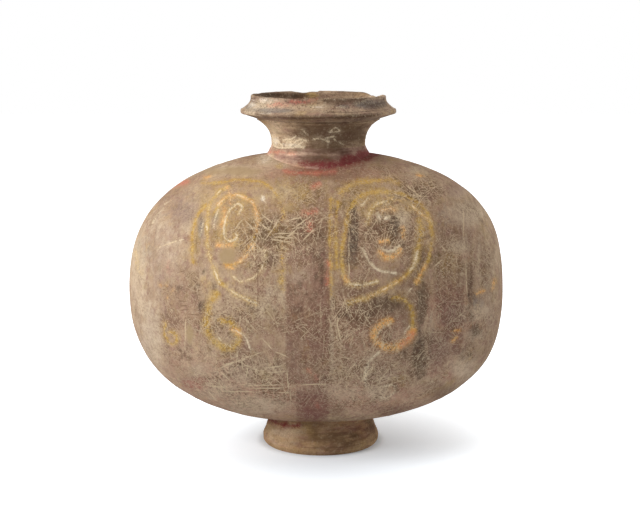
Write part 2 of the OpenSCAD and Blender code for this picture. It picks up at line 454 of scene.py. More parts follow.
# For each pigment: (path, half width of the drawn line in pixels, strength)
STROKES = {
    "ochre": [
        (LEFT_OUTER, 1.6, 0.9), (LEFT_TOP_START, 1.6, 0.85), (LEFT_TOP_END, 2.2, 0.6),
        (LEFT_SECOND, 2.0, 0.9), (LEFT_THIRD, 1.6, 0.85), (LEFT_HOOK, 1.2, 0.6),
        (LEFT_BORDER, 2.6, 0.65), (LOWER_LEFT_CURL, 3.0, 1.4), (FAR_LEFT_CURL, 1.5, 0.95),
        (FAR_LEFT_EDGE, 1.4, 0.6), (RIGHT_OUTER, 2.6, 0.9), (RIGHT_SECOND, 2.0, 1.0),
        (RIGHT_CORNER, 2.0, 0.9), (RIGHT_INNER, 2.0, 1.2), (RIGHT_INNER_TOP, 2.2, 1.5),
        (RIGHT_SHOULDER, 1.6, 0.9), (LOWER_RIGHT_START, 2.0, 0.85), (RIGHT_RING, 1.8, 0.95),
        (LEFT_CORE, 2.6, 0.8), (RIGHT_BORDER, 1.5, 0.7), (RIGHT_FIRST, 1.5, 0.85),
    ],
    "orange": [
        (LEFT_THIRD_TOP, 1.8, 0.65), (LEFT_THIRD_SIDE, 1.6, 0.85), (LEFT_THIRD_LOW, 2.4, 0.9),
        (LEFT_THIRD_END, 1.5, 0.55), (LEFT_DROP, 1.2, 0.7), (LEFT_CORE_SIDE, 2.2, 0.8),
        (LEFT_CORE_UNDER, 2.8, 0.75), (LOWER_LEFT_TIP, 2.2, 0.95), (RIGHT_SECOND_END, 1.6, 0.8),
        (RIGHT_CORNER_TURN, 1.6, 0.75), (EYE_DASH, 1.6, 1.2), (EYE_UNDER, 2.5, 1.5),
        (EYE_TOP_START, 1.3, 0.85), (RIGHT_TAIL_START, 1.7, 0.6), (RIGHT_SHOULDER, 1.5, 0.5),
        (EYE_SIDE, 2.2, 0.95), (LOWER_RIGHT_CURL, 3.2, 1.5),
        *[(path, 1.5, 0.5) for path in FAR_LEFT_MARKS], *[(path, 1.6, 0.78) for path in ORANGE_SPOTS],
    ],
    "cream": [
        (LEFT_SECOND_TOP, 0.7, 0.5), (LEFT_SECOND_SIDE, 0.9, 0.7), (LEFT_TAIL, 1.0, 0.8),
        (LEFT_THIRD_TOP, 0.8, 0.5), (LEFT_THIRD_SIDE, 0.9, 0.65), (LEFT_THIRD_LOW, 1.2, 0.7),
        (LEFT_CORE, 1.1, 0.9), (LEFT_HOOK, 0.9, 0.65), (LEFT_DROP, 0.7, 0.55),
        *[(path, 0.9, 0.85) for path in LEFT_STREAKS], (LOWER_LEFT_TAIL, 0.9, 0.8),
        (LOWER_LEFT_SHINE, 0.8, 0.55), (LOWER_LEFT_TIP, 0.7, 0.65), (RIGHT_CORNER_FOOT, 1.1, 0.9),
        (RIGHT_INNER_SIDE, 1.3, 0.85), (RIGHT_SHOULDER, 1.0, 0.55), (RIGHT_TAIL, 1.1, 0.6),
        (RIGHT_FLECK, 0.9, 0.9), (RIGHT_ARC, 1.2, 1.05), (RIGHT_RING, 1.0, 0.7),
        (RIGHT_GLEAM, 1.0, 0.6), (EYE_CRESCENT, 1.3, 1.7), (EYE_TOP, 0.9, 0.65),
        *[(path, 1.3, 1.7) for path in EYE_DOTS], (LOWER_RIGHT_TAIL, 1.5, 1.35),
        (LOWEST_CURL, 0.9, 0.75), (FAR_LEFT_EDGE, 0.7, 0.55),
        *[(path, 0.8, 0.8) for path in NECK_FLECKS], (BASE_PALE, 2.2, 0.55), (LIP_EDGE_HIGHLIGHT, 0.8, 0.5),
        *[(path, 0.9, 1.5) for path in NECK_WHITE], (WHITE_SCRAPE, 0.7, 0.6),
        *[(path, 0.8, 0.55) for path in LEFT_FLECKS], (LOWER_RIGHT_SHINE, 0.9, 0.8),
        *[(path, 0.9, 0.7) for path in LOWER_RIGHT_GLINTS], (RIM_FLAKE, 1.2, 0.45),
    ],
    "crimson": [
        (BASE_RED_RIGHT, 4.4, 1.5), (BASE_RED_MIDDLE, 3.4, 1.1), (BASE_RED_START, 2.4, 0.75),
        (FOOT_RED, 1.8, 0.8),
    ],
    "rose": [
        *[(path, 1.7, 1.1) for path in RED_SPOTS], *[(path, 1.0, 0.6) for path in BAND_SPOTS],
        (RED_EDGE, 1.6, 0.45), (BASE_RED_LEFT, 1.0, 0.6), (BASE_RED_FRONT, 1.4, 0.85),
        (LOWER_RIGHT_RED, 2.2, 1.1), (RIM_RED, 1.6, 0.55), (RIM_SALMON, 1.6, 0.5),
    ],
    # Dark strokes: along the foot's top, in the lip's groove and under the flange they are painted shade
    "stain_and_shade": [
        (FOOT_SHADE, 3.0, 0.4), (LIP_GROOVE_SHADOW, 1.0, 1.5), (FLANGE_SHADOW_LINE, 0.8, 1.1),
        (NECK_UNDERLINE, 0.7, 0.7),
    ],
}
STROKE_REACH = 5.0  # how far a stroke's colour spreads past its drawn line, in pixels

# For each kind of ground: (across, down, half width, half height, strength), in pixels
PATCHES = {
    "soot_and_shade": [
        (270, 232, 24, 18, 0.9), (268, 258, 16, 14, 0.6), (353, 230, 5, 30, 1.3),
        (393, 228, 7, 13, 1.2), (419, 357, 9, 26, 0.95), (422, 303, 6, 22, 1.05),
        (416, 194, 18, 10, 0.8), (340, 206, 11, 10, 0.55), (320, 265, 9, 36, 0.6),
        (300, 300, 14, 34, 0.45), (202, 307, 5, 6, 0.9), (376, 224, 20, 26, 0.45),
        (244, 368, 26, 14, 0.5), (272, 366, 18, 14, 0.4), (196, 246, 4, 10, 0.6), (188, 358, 5, 5, 0.6),
        (475, 330, 6, 9, 0.85), (472, 350, 5, 12, 0.5), (470, 300, 4, 30, 0.65), (214, 286, 7, 10, 0.5),
        (213, 233, 6, 14, 0.5), (470, 352, 18, 12, 0.4), (282, 268, 7, 18, 0.35),
        # (267, 95), (294, 96) and (322, 96) are painted shade inside the mouth
        (345, 312, 20, 16, 0.55), (267, 95, 12, 4, 0.75), (294, 96, 5, 4, 0.8), (322, 96, 20, 2, 0.4),
        (178, 289, 4, 6, 0.55), (205, 271, 5, 4, 0.6), (196, 287, 6, 3, 0.55), (278, 391, 16, 8, 0.4),
        (228, 390, 18, 6, 0.4), (184, 352, 8, 10, 0.6), (368, 311, 26, 11, 0.7),
        (319, 234, 12, 12, 0.65), (419, 256, 8, 12, 0.75), (418, 273, 10, 10, 0.7),
        (434, 258, 14, 14, 0.55), (424, 340, 12, 14, 0.6), (346, 258, 8, 10, 0.55),
        (323, 378, 6, 4, 0.7), (300, 222, 10, 8, 0.7), (383, 304, 24, 10, 0.9), (404, 354, 12, 8, 0.6),
    ],
    "slate": [
        (201, 228, 4, 13, 0.8), (143, 247, 13, 22, 0.42), (180, 206, 26, 20, 0.37),
        (216, 218, 4, 10, 0.6), (353, 231, 5, 26, 1.25), (394, 226, 5, 11, 1.0), (476, 301, 10, 9, 0.7),
        (419, 352, 9, 30, 0.5), (421, 300, 5, 18, 0.5), (275, 110.5, 21, 2.6, 1.1),
        (343, 106, 9, 2.2, 0.8), (371, 104, 18, 5, 1.0), (248, 107, 6, 4, 0.7), (443, 218, 12, 22, 0.4),
        (305, 224, 5, 5, 0.6), (291, 352, 8, 20, 0.35),
    ],
    "purple": [
        (312, 404, 18, 21, 0.55), (178, 212, 18, 22, 0.5), (167, 318, 11, 38, 0.45),
        (450, 318, 16, 44, 0.7), (456, 188, 13, 12, 0.65), (436, 352, 16, 24, 0.85),
        (194, 383, 20, 12, 0.6), (292, 159, 14, 4, 0.85), (446, 262, 22, 14, 0.4),
        (455, 225, 18, 28, 0.5), (245, 348, 12, 8, 0.5), (400, 412, 60, 12, 0.5),
        (300, 102, 22, 3, 0.75), (165, 282, 10, 14, 0.4), (372, 108, 20, 7, 0.5),
        (270, 370, 20, 12, 0.35),
    ],
    "wine": [
        (313, 404, 17, 20, 0.95), (318, 377, 9, 5, 0.5), (295, 102.5, 22, 1.8, 0.55),
        (352, 152, 24, 7, 0.65), (330, 163, 22, 5, 0.5), (312, 172, 34, 5, 0.9),
        (352, 167, 26, 7, 0.65), (312, 165, 14, 4, 0.75), (322, 290, 7, 28, 0.4),
        (196, 385, 18, 10, 0.45), (238, 372, 18, 10, 0.45), (400, 413, 50, 7, 0.35),
        (358, 430, 22, 16, 0.6), (286, 293, 5, 14, 0.35), (448, 376, 10, 7, 0.45),
        (300, 305, 10, 10, 0.4), (440, 300, 10, 30, 0.3), (307, 345, 4, 40, 0.45),
    ],
    "rose": [
        (197, 385, 17, 9, 0.6), (448, 376, 8, 6, 0.4), (168, 268, 8, 12, 0.45), (283, 153, 15, 4, 0.38),
        (262, 100, 10, 3, 0.35), (294, 222, 4, 4, 0.4), (280, 105, 16, 2.5, 0.45),
        (305, 164, 22, 4, 0.4),
    ],
    # Pale patches from about 368 down partly lighten the low body as painted bounce light from the floor;
    # (258, 109) and (268, 102), at the rim's left, are partly a painted highlight
    "pale": [
        (138, 262, 11, 70, 0.85), (146, 320, 8, 50, 0.6), (172, 250, 18, 24, 0.5),
        (150, 215, 16, 18, 0.5), (190, 335, 6, 15, 0.6), (268, 312, 12, 16, 0.4),
        (272, 163, 14, 5, 0.8), (459, 247, 13, 11, 0.85), (240, 170, 46, 8, 0.75),
        (285, 290, 3, 30, 0.5), (332, 330, 3, 60, 0.65), (313, 268, 2, 16, 0.65),
        (300, 330, 3, 30, 0.45), (321, 322, 2, 34, 0.45), (273, 126, 10, 10, 0.9),
        (266, 160, 10, 7, 1.3), (279, 166, 12, 4, 0.8), (258, 109, 18, 8, 0.95),
        (300, 112, 40, 4, 0.45), (388, 204, 12, 5, 0.4), (268, 102, 19, 5, 0.75),
        (314, 107, 20, 3, 0.6), (466, 240, 2, 40, 0.6), (458, 192, 12, 9, 0.7), (475, 335, 14, 8, 0.65),
        (310, 163, 20, 4, 0.4), (490, 290, 10, 60, 0.55), (284, 434, 28, 14, 0.6),
        (445, 345, 10, 12, 0.55), (432, 322, 6, 20, 0.5), (280, 277, 20, 12, 0.45),
        (185, 228, 12, 10, 0.5), (158, 345, 16, 36, 0.7), (213, 388, 36, 14, 0.75),
        (255, 405, 40, 12, 0.85), (160, 225, 22, 22, 0.5), (158, 315, 12, 30, 0.5),
        (240, 196, 22, 14, 0.4), (466, 214, 22, 14, 1.0), (298, 275, 14, 10, 1.1),
        (276, 292, 14, 12, 0.7), (262, 309, 18, 13, 0.8), (281, 193, 16, 8, 0.85),
        (378, 392, 16, 10, 0.95), (382, 378, 20, 14, 0.65), (262, 196, 30, 12, 0.5),
        (478, 312, 18, 14, 0.8), (246, 372, 40, 16, 0.8), (200, 372, 18, 12, 0.6),
        (462, 368, 16, 16, 0.8), (402, 224, 8, 20, 1.0), (398, 196, 12, 8, 1.0),
        (280, 256, 22, 14, 0.6), (412, 178, 20, 8, 0.45), (330, 392, 64, 12, 0.6),
        (457, 314, 13, 13, 0.9), (418, 172, 14, 8, 0.7), (500, 255, 8, 22, 0.6), (452, 252, 3, 26, 0.5),
        (479, 262, 3, 40, 0.5), (455, 310, 3, 40, 0.45),
    ],
    # (440, 392), (394, 411) and (336, 411) are painted shade on the body's low edge, over the foot
    "shade": [
        (315, 203, 26, 22, 0.75), (345, 215, 14, 40, 0.65), (398, 306, 26, 16, 0.95),
        (356, 188, 38, 12, 0.75), (410, 318, 12, 20, 0.95), (334, 250, 9, 44, 0.65),
        (270, 238, 34, 30, 0.5), (378, 230, 34, 32, 0.5), (250, 372, 46, 26, 0.35),
        (300, 320, 14, 60, 0.4), (318, 234, 22, 20, 1.1), (346, 256, 22, 16, 1.0),
        (420, 256, 16, 16, 1.0), (402, 275, 22, 12, 0.85), (362, 290, 40, 12, 0.9),
        (378, 312, 30, 14, 1.3), (404, 280, 18, 14, 1.0), (335, 176, 52, 9, 0.85),
        (415, 352, 14, 14, 0.9), (444, 234, 4, 26, 0.6), (459, 262, 3, 34, 0.5), (472, 292, 4, 44, 0.6),
        (445, 266, 20, 16, 0.55), (376, 332, 60, 40, 0.55), (440, 392, 14, 10, 0.9),
        (394, 411, 22, 8, 0.8), (336, 411, 12, 8, 0.8),
    ],
    # Blush patches from about 368 down partly lighten the low body as painted bounce light from the floor
    "blush": [
        (245, 398, 90, 22, 1.1), (180, 352, 46, 44, 0.55), (365, 398, 76, 18, 0.95),
        (168, 300, 20, 40, 0.25), (455, 314, 38, 30, 0.9), (345, 428, 34, 8, 0.6),
        (284, 392, 30, 9, 1.0), (376, 332, 60, 40, 0.7), (232, 372, 36, 16, 1.0),
        (440, 372, 30, 12, 0.7), (440, 308, 26, 14, 0.9), (460, 255, 14, 10, 0.7),
        (456, 368, 20, 14, 0.8), (280, 170, 36, 8, 0.9), (350, 175, 46, 8, 0.75),
    ],
    "ash": [
        (162, 255, 24, 66, 0.62), (186, 214, 24, 26, 0.6), (150, 330, 14, 44, 0.7),
        (132, 245, 7, 34, 0.6), (200, 196, 18, 16, 0.5),
    ],
    # (252, 103) and (268, 100.5), at the rim's left, are partly a painted highlight
    "white": [
        (252, 103, 8, 6, 0.5), (266, 158, 7, 6, 0.6), (276, 142, 4, 5, 0.8), (290, 145, 10, 2.5, 0.8),
        (264, 113.5, 10, 1.2, 0.5), (268, 100.5, 12, 3, 0.5), (316, 107, 12, 1.6, 0.5),
        (376, 94, 4, 2, 0.6), (379, 217, 1.9, 2.1, 1.4), (386.3, 218, 1.8, 1.8, 1.4),
        (391, 250.5, 6, 1.4, 1.0), (263, 199, 2.4, 3.2, 0.8),
    ],
    "streaky": [
        (460, 280, 44, 95, 1.0), (146, 270, 24, 85, 0.7), (310, 330, 26, 80, 0.8),
        (185, 215, 26, 40, 0.6), (268, 300, 14, 40, 0.5),
    ],
    "yellow": [
        (302, 195, 12, 12, 0.9), (216, 236, 9, 12, 0.8), (236, 243, 7, 6, 1.0), (196, 240, 7, 26, 0.65),
        (279, 166, 5, 3, 0.9), (205, 200, 9, 16, 0.6), (305, 336, 8, 24, 0.45),
        (362, 190, 26, 10, 0.65), (312, 95, 8, 3, 0.8), (240, 188, 30, 10, 0.5), (336, 240, 6, 44, 0.5),
        (282, 240, 14, 22, 0.7), (425, 235, 9, 30, 0.5), (409, 208, 8, 5, 0.8),
        (448, 262, 20, 16, 0.55), (262, 376, 16, 12, 0.5), (285, 268, 30, 14, 0.4),
        (410, 306, 10, 8, 0.4), (292, 196, 40, 24, 0.6), (240, 225, 44, 44, 0.62),
        (372, 200, 48, 24, 0.65),
    ],
    "mended": [
        (227.5, 256, 10, 8.5, 0.95), (240, 171, 34, 6, 0.75), (288, 208, 8, 5, 0.6),
        (269, 312, 12, 15, 0.55), (190, 335, 5, 13, 0.8), (365, 396, 9, 9, 0.4),
        (215, 172, 22, 7, 0.65), (240, 318, 12, 10, 0.3), (232, 334, 5, 5, 0.6), (406, 203, 9, 4, 0.7),
        (382, 336, 6, 6, 0.5),
    ],
    "hatch": [
        (268, 238, 34, 30, 0.85), (248, 378, 60, 32, 0.66), (376, 226, 50, 42, 0.62),
        (370, 366, 64, 44, 0.75), (305, 330, 26, 80, 0.48), (205, 330, 40, 44, 0.5),
        (413, 193, 28, 16, 0.9), (455, 300, 50, 90, 0.42), (309, 198, 20, 18, 0.5),
        (308, 236, 22, 36, 0.8), (348, 320, 36, 40, 0.75), (240, 310, 46, 44, 0.45),
    ],
    "stain_and_shade": [
        (336, 134, 44, 16, 1.05), (328, 149, 34, 10, 0.85), (308, 134, 28, 7, 0.9),
        (320, 159, 26, 6, 0.95), (296, 150, 12, 4, 0.75), (366, 128, 16, 14, 0.7),
        (316, 433, 6, 8, 0.8), (353, 436, 9, 5, 0.85), (334, 438, 42, 22, 0.7),
        # (345, 118) and (290, 118.5) are a painted shadow under the flange; (300, 96) and (280, 95)
        # painted shade inside the mouth
        (345, 118, 50, 2.5, 0.75), (290, 118.5, 38, 1.6, 0.65), (300, 96, 9, 4, 0.9),
        (378, 105, 16, 9, 0.6), (280, 95, 18, 4, 0.65), (345, 94, 30, 3, 0.55), (316, 434, 16, 16, 0.7),
        (370, 430, 9, 16, 0.55),
    ],
}
# Broad upright bands round the body: (from, to) along its axis, (from, to) in height, strength
BANDS = [
    (-24.0, 11.0, 76.0, 190.0, 0.7), (-5.0, 11.0, 100.0, 190.0, 0.9), (-17.0, 11.0, -20.0, 76.0, 0.7),
    (-128.0, -104.0, 60.0, 160.0, 0.34), (101.0, 120.0, 96.0, 158.0, 0.7),
]
BAND_EDGE = 1.5
BAND_FADE = 14.0  # height over which a band's upper end fades out
# Long straight scratches
SCRATCHES = [
    [(250, 214), (264, 243)], [(243, 217), (263, 244)], [(260, 213), (275, 225)],
    [(283, 214), (261, 246)], [(270, 234), (303, 233)], [(270, 237), (300, 238)],
    [(268, 239), (294, 242)], [(277, 246), (300, 226)], [(289, 232), (314, 213)],
    [(300, 243), (318, 227)], [(231, 232), (244, 218)], [(253, 217), (270, 231)],
    [(254, 240), (255, 262)], [(284, 222), (305, 216)], [(209, 372), (270, 349)],
    [(219, 366), (252, 358)], [(261, 337), (274, 351)], [(272, 350), (291, 359)],
    [(208, 387), (232, 387)], [(232, 385), (291, 385)], [(240, 388), (288, 388)],
    [(214, 391), (262, 392)], [(286, 366), (290, 398)], [(219, 371), (231, 382)],
    [(258, 369), (287, 365)], [(262, 373), (286, 371)], [(237, 350), (237, 366)],
    [(242, 352), (243, 372)], [(248, 365), (246, 380)], [(275, 392), (293, 393)],
    [(207, 389), (219, 403)], [(186, 315), (185, 352)], [(160, 247), (180, 240)],
    [(297, 384.5), (331, 384)], [(349, 226), (349, 284)], [(404, 184), (426, 201)],
    [(410, 182), (421, 204)], [(372, 383), (388, 375)], [(441, 246), (446, 252)],
    [(433, 268), (444, 258)], [(463, 205), (463.5, 240)], [(466, 262), (467, 300)],
    [(384, 250), (392, 251.5)], [(391, 251), (400, 245.5)],
]
# Thin dark lines
DARK_LINES = [
    [(257, 252), (258, 318)], [(176, 273), (186, 271)], [(177, 301), (189, 302)],
    [(179, 306), (189, 306)], [(178, 310), (191, 310)], [(184, 314), (201, 315)],
    [(404, 186), (416, 194)], [(408, 195), (424, 189)], [(345, 185), (352, 181)],
    [(401, 196), (412, 201)],
]


def stroke_fields(places, strokes):
    """Strength of the strongest stroke at each place, 0 where its colour ends, and the distance from the
    middle of its line, in half widths and with a sign for the side"""
    strength = np.zeros(len(places))
    side = np.full(len(places), STROKE_REACH)
    for path, half_width, top in strokes:
        curve = smooth_path(path)
        ways = np.gradient(curve, axis=0)
        ways /= np.linalg.norm(ways, axis=1)[:, None]
        reach = half_width + STROKE_REACH
        inside = (places > curve.min(0) - reach) & (places < curve.max(0) + reach)
        near = np.flatnonzero(inside.all(axis=1))
        gap = np.full(near.size, reach)
        turn = np.full(near.size, reach)
        for point, way in zip(curve, ways):
            offset = places[near] - point
            length = np.hypot(offset[:, 0], offset[:, 1])
            closer = length < gap
            gap = np.where(closer, length, gap)
            turn = np.where(closer, way[0] * offset[:, 1] - way[1] * offset[:, 0], turn)
        here = top * (1 - gap / reach)
        wins = here > strength[near]
        strength[near[wins]] = here[wins]
        side[near[wins]] = turn[wins] / half_width
    return strength, side


PATCH_FALL = 0.8  # how steeply a patch fades from its middle


def patch_field(places, patches):
    field = np.zeros(len(places))
    for across, down, half_w, half_h, strength in patches:
        away = ((places[:, 0] - across) / half_w) ** 2 + ((places[:, 1] - down) / half_h) ** 2
        field = np.maximum(field, strength * np.exp(-away * PATCH_FALL))
    return field


def band_field(points):
    field = np.zeros(len(points))
    for low, high, bottom, top, strength in BANDS:
        inside = smooth_step(points[:, 0], low - BAND_EDGE, low + BAND_EDGE)
        inside *= 1 - smooth_step(points[:, 0], high - BAND_EDGE, high + BAND_EDGE)
        inside *= smooth_step(points[:, 2], bottom - BAND_EDGE, bottom + BAND_EDGE)
        inside *= 1 - smooth_step(points[:, 2], top - BAND_FADE, top + BAND_FADE)
        field = np.maximum(field, strength * inside)
    return field


def store_field(thing, name, values):
    layer = thing.data.attributes.new(name, "FLOAT", "POINT")
    layer.data.foreach_set("value", values.astype(np.float32))


BLEND = 0.3  # how squarely the surface must face front or back to carry the paint of one side only


def store_paint(thing, with_bands=False):
    """Keeps the picture place of the object's points, and the strength of strokes and grounds there"""
    points = vertex_vectors(thing, "co") * MM
    towards = vertex_vectors(thing, "normal") @ np.array([0, -rise, sink])
    front = photo_places(points)
    back = photo_places(points * HALF_TURN)
    places = np.where(towards[:, None] > 0, front, back)
    turning = np.abs(towards) < BLEND
    others = np.where(towards[:, None] > 0, back, front)[turning]
    share = 0.5 * (1 - smooth_step(np.abs(towards[turning]), 0, BLEND))

    def blend(values, other_values):
        values[turning] += share * (other_values - values[turning])
        return values

    layer = thing.data.attributes.new("place", "FLOAT_VECTOR", "POINT")
    vectors = np.column_stack([places, np.zeros(len(places))]).astype(np.float32)
    layer.data.foreach_set("vector", vectors.ravel())
    for name, strokes in STROKES.items():
        strength, side = stroke_fields(places, strokes)
        strength = blend(strength, stroke_fields(others, strokes)[0])
        store_field(thing, name + "_stroke", strength)
        store_field(thing, name + "_side", side)
    for name, patches in PATCHES.items():
        store_field(thing, name, blend(patch_field(places, patches), patch_field(others, patches)))
    if with_bands:
        store_field(thing, "band", band_field(points))


# Materials
def colour(red, green, blue):
    """A colour of 0 to 255 steps as the shader's own linear values"""
    steps = np.array([red, green, blue]) / 255
    linear = np.where(steps <= 0.04045, steps / 12.92, ((steps + 0.055) / 1.055) ** 2.4)
    return (*linear, 1.0)


PALE_TAN = colour(191, 163, 133)
TAN = colour(168, 137, 110)
UMBER = colour(110, 81, 62)
# Pale lime, also lightening the low body as painted bounce light and the rim's left as a painted
# highlight
LIME_AND_PAINTED_LIGHT = colour(214, 192, 162)
# Soot, and painted shade inside the mouth
SOOT_AND_SHADE = colour(70, 56, 42)
# Stains, and painted shade under the flange, in the lip's groove, over the foot and inside the mouth
STAIN_AND_SHADE = colour(68, 40, 18)
PURPLE = colour(122, 84, 77)
BAND = colour(120, 79, 69)
MAUVE = colour(146, 104, 96)
OLIVE = colour(156, 134, 90)
WINE = colour(112, 56, 54)
BLUSH = colour(186, 136, 114)
ASH = colour(184, 165, 147)
YELLOW = colour(186, 152, 84)
OCHRE = colour(188, 145, 56)
ORANGE = colour(224, 158, 86)
PIT = colour(84, 64, 50)
CREAM = colour(230, 208, 172)
WHITE = colour(242, 228, 208)
CRIMSON = colour(120, 40, 44)
ROSE = colour(200, 104, 86)
SLATE = colour(98, 98, 98)
FIBRE = colour(208, 184, 150)
DUST = colour(190, 168, 140)
SCRATCHED = colour(206, 182, 148)
MENDED = colour(166, 140, 104)


class Paint:
    """A node material built with short calls, each of which gives the socket of its result"""

    def __init__(self, name):
        self.material = bpy.data.materials.new(name)
        self.material.use_nodes = True
        self.tree = self.material.node_tree
        self.shader = self.tree.nodes["Principled BSDF"]
        place = self.tree.nodes.new("ShaderNodeTexCoord").outputs["Object"]
        self.place = self.vector("SCALE", place, scale=MM)

    def feed(self, socket, value):
        if isinstance(value, bpy.types.NodeSocket):
            self.tree.links.new(value, socket)
        else:
            socket.default_value = value

    def node(self, kind, values, result=0, **settings):
        made = self.tree.nodes.new(kind)
        for name, setting in settings.items():
            setattr(made, name, setting)
        for key, value in values.items():
            self.feed(made.inputs[key], value)
        return made.outputs[result]

    def math(self, operation, first, second=0.0):
        return self.node("ShaderNodeMath", {0: first, 1: second}, operation=operation)

    def chain(self, operation, values):
        total = values[0]
        for value in values[1:]:
            total = self.math(operation, total, value)
        return total

    def add(self, *values):
        return self.chain("ADD", values)

    def times(self, *values):
        return self.chain("MULTIPLY", values)

    def most(self, *values):
        return self.chain("MAXIMUM", values)

    def vector(self, operation, first, second=(0, 0, 0), scale=1.0, result=0):
        values = {0: first, 1: second, 3: scale}
        return self.node("ShaderNodeVectorMath", values, result, operation=operation)

    def field(self, name):
        return self.node("ShaderNodeAttribute", {}, "Fac", attribute_name=name)

    def noise(self, size, detail, roughness, shift=0.0, place=None):
        moved = self.vector("ADD", place or self.place, (shift, shift * 1.7, shift * 0.6))
        values = {"Vector": moved, "Scale": 1 / size, "Detail": detail, "Roughness": roughness}
        return self.node("ShaderNodeTexNoise", values)

    def ease(self, value, low, high, top=1.0):
        """0 below low, top above high and smooth between; low above high turns it round"""
        values = {0: value, 1: low, 2: high, 3: 0.0, 4: top}
        return self.node("ShaderNodeMapRange", values, interpolation_type="SMOOTHSTEP")

    def mix(self, share, under, over):
        return self.node("ShaderNodeMix", {0: share, 6: under, 7: over}, 2, data_type="RGBA")

    def fibres(self, cell, width, seed, place):
        """Straight hair lines, one in each random cell, that fade towards their ends"""
        moved = self.vector("ADD", place, (seed * 53.0, seed * 31.0, seed * 17.0))
        at = self.vector("SCALE", moved, scale=1 / cell)
        cells = self.tree.nodes.new("ShaderNodeTexVoronoi")
        self.feed(cells.inputs["Vector"], at)
        cells.inputs["Scale"].default_value = 1.0
        chance = self.vector("FRACTION", self.vector("SCALE", cells.outputs["Position"], scale=91.7))
        aim = self.vector("NORMALIZE", self.vector("SUBTRACT", chance, (0.5, 0.5, 0.5)))
        offset = self.vector("SUBTRACT", at, cells.outputs["Position"])
        gap = self.math("ABSOLUTE", self.vector("DOT_PRODUCT", offset, aim, result=1))
        core = self.ease(gap, width / cell, width / cell * 0.3)
        return self.times(core, self.ease(cells.outputs["Distance"], 0.75, 0.4))

    def scratch(self, seen, start, end):
        """One thin line between two picture pixels that fades towards its ends"""
        start, end = np.array(start, float), np.array(end, float)
        half = np.linalg.norm(end - start) / 2
        way = (end - start) / (2 * half)
        offset = self.vector("SUBTRACT", seen, (*((start + end) / 2), 0))
        along = self.math("ABSOLUTE", self.vector("DOT_PRODUCT", offset, (*way, 0), result=1))
        across = self.math("ABSOLUTE", self.vector("DOT_PRODUCT", offset, (-way[1], way[0], 0), result=1))
        return self.times(self.ease(across, 0.9, 0.2), self.ease(along, half, half * 0.4))


# How each pigment covers: (name, colour, rubbed colour, share of its spread, share of its drawn line,
# how worn)
PIGMENTS = [
    # the first pigment also draws painted shade: under the flange, in the lip's groove and over the foot
    ("stain_and_shade", STAIN_AND_SHADE, UMBER, 0.5, 0.5, 0.8), ("ochre", OCHRE, colour(212, 177, 104), 0.34, 0.7, 1.2),
    ("orange", ORANGE, colour(236, 190, 124), 0.36, 0.95, 0.75),
    ("rose", ROSE, colour(216, 140, 110), 0.4, 0.4, 1.2),
    ("crimson", CRIMSON, colour(130, 54, 54), 0.85, 0.4, 1.0),
    ("cream", CREAM, colour(238, 219, 186), 0.14, 0.8, 1.4),
]
# How each kind of ground covers: (name, colour, share, unevenness)
GROUNDS = [
    ("blush", BLUSH, 0.5, 1.2), ("ash", ASH, 0.6, 0.9), ("shade", UMBER, 0.6, 1.3),
    ("pale", LIME_AND_PAINTED_LIGHT, 0.6, 1.4), ("band", BAND, 0.62, 0.7), ("purple", PURPLE, 0.62, 1.3),
    ("wine", WINE, 0.5, 1.3), ("rose", ROSE, 0.45, 1.3), ("yellow", YELLOW, 0.58, 1.4),
    # the stain and soot grounds also hold painted shade inside the mouth and under the flange
    ("slate", SLATE, 0.6, 1.0), ("stain_and_shade", STAIN_AND_SHADE, 0.8, 0.8), ("soot_and_shade", SOOT_AND_SHADE, 0.72, 1.7),
    ("white", WHITE, 0.85, 1.5),
]


# Hair lines as (cell, half width)
PALE_HAIRS = [
    (4, 0.22), (5, 0.23), (6.5, 0.24), (8, 0.25), (10, 0.26), (12, 0.28), (15, 0.29), (19, 0.3),
    (24, 0.32), (17, 0.3), (21, 0.32), (30, 0.34),
]
DARK_HAIRS = [(3.5, 0.3), (5, 0.32), (7, 0.34)]
PIT_SIZE = 3.4
WAVE_SIZE = 14.0  # of the waves in hairs and lines


def clay_marks(paint, streak_by, smear_by):
    """Random marks of the clay. streak_by and smear_by squeeze space so that turning marks and smeared
    colours run round the piece"""
    round_piece = paint.vector("MULTIPLY", paint.place, streak_by)
    smeared = paint.vector("MULTIPLY", paint.place, smear_by)
    marks = SimpleNamespace(
        cloud=paint.noise(55, 3, 0.5),
        hue=paint.noise(19, 4, 0.6, shift=260),
        tint=paint.noise(5, 4, 0.62, shift=610, place=smeared),
        mottle=paint.noise(5.5, 6, 0.68, shift=40),
        spots=paint.noise(2.4, 3, 0.62, shift=330),
        flakes=paint.noise(3.1, 4, 0.66, shift=410),
        grain=paint.noise(1.4, 2, 0.6, shift=90),
        streak=paint.noise(2.4, 3, 0.6, shift=15, place=round_piece),
        drift=paint.noise(9, 3, 0.6, shift=70, place=round_piece),
        blots=paint.noise(4.5, 5, 0.72, shift=220, place=smeared),
        patchy=paint.noise(8, 4, 0.6, shift=130),
        fine=paint.noise(1.2, 3, 0.7, shift=500),
        broad=paint.noise(24, 3, 0.55, shift=300),
    )
    marks.dense = paint.add(paint.times(marks.broad, 0.8), paint.times(paint.field("hatch"), 0.5))
    marks.rough = paint.ease(marks.dense, 0.42, 0.85)
    return marks


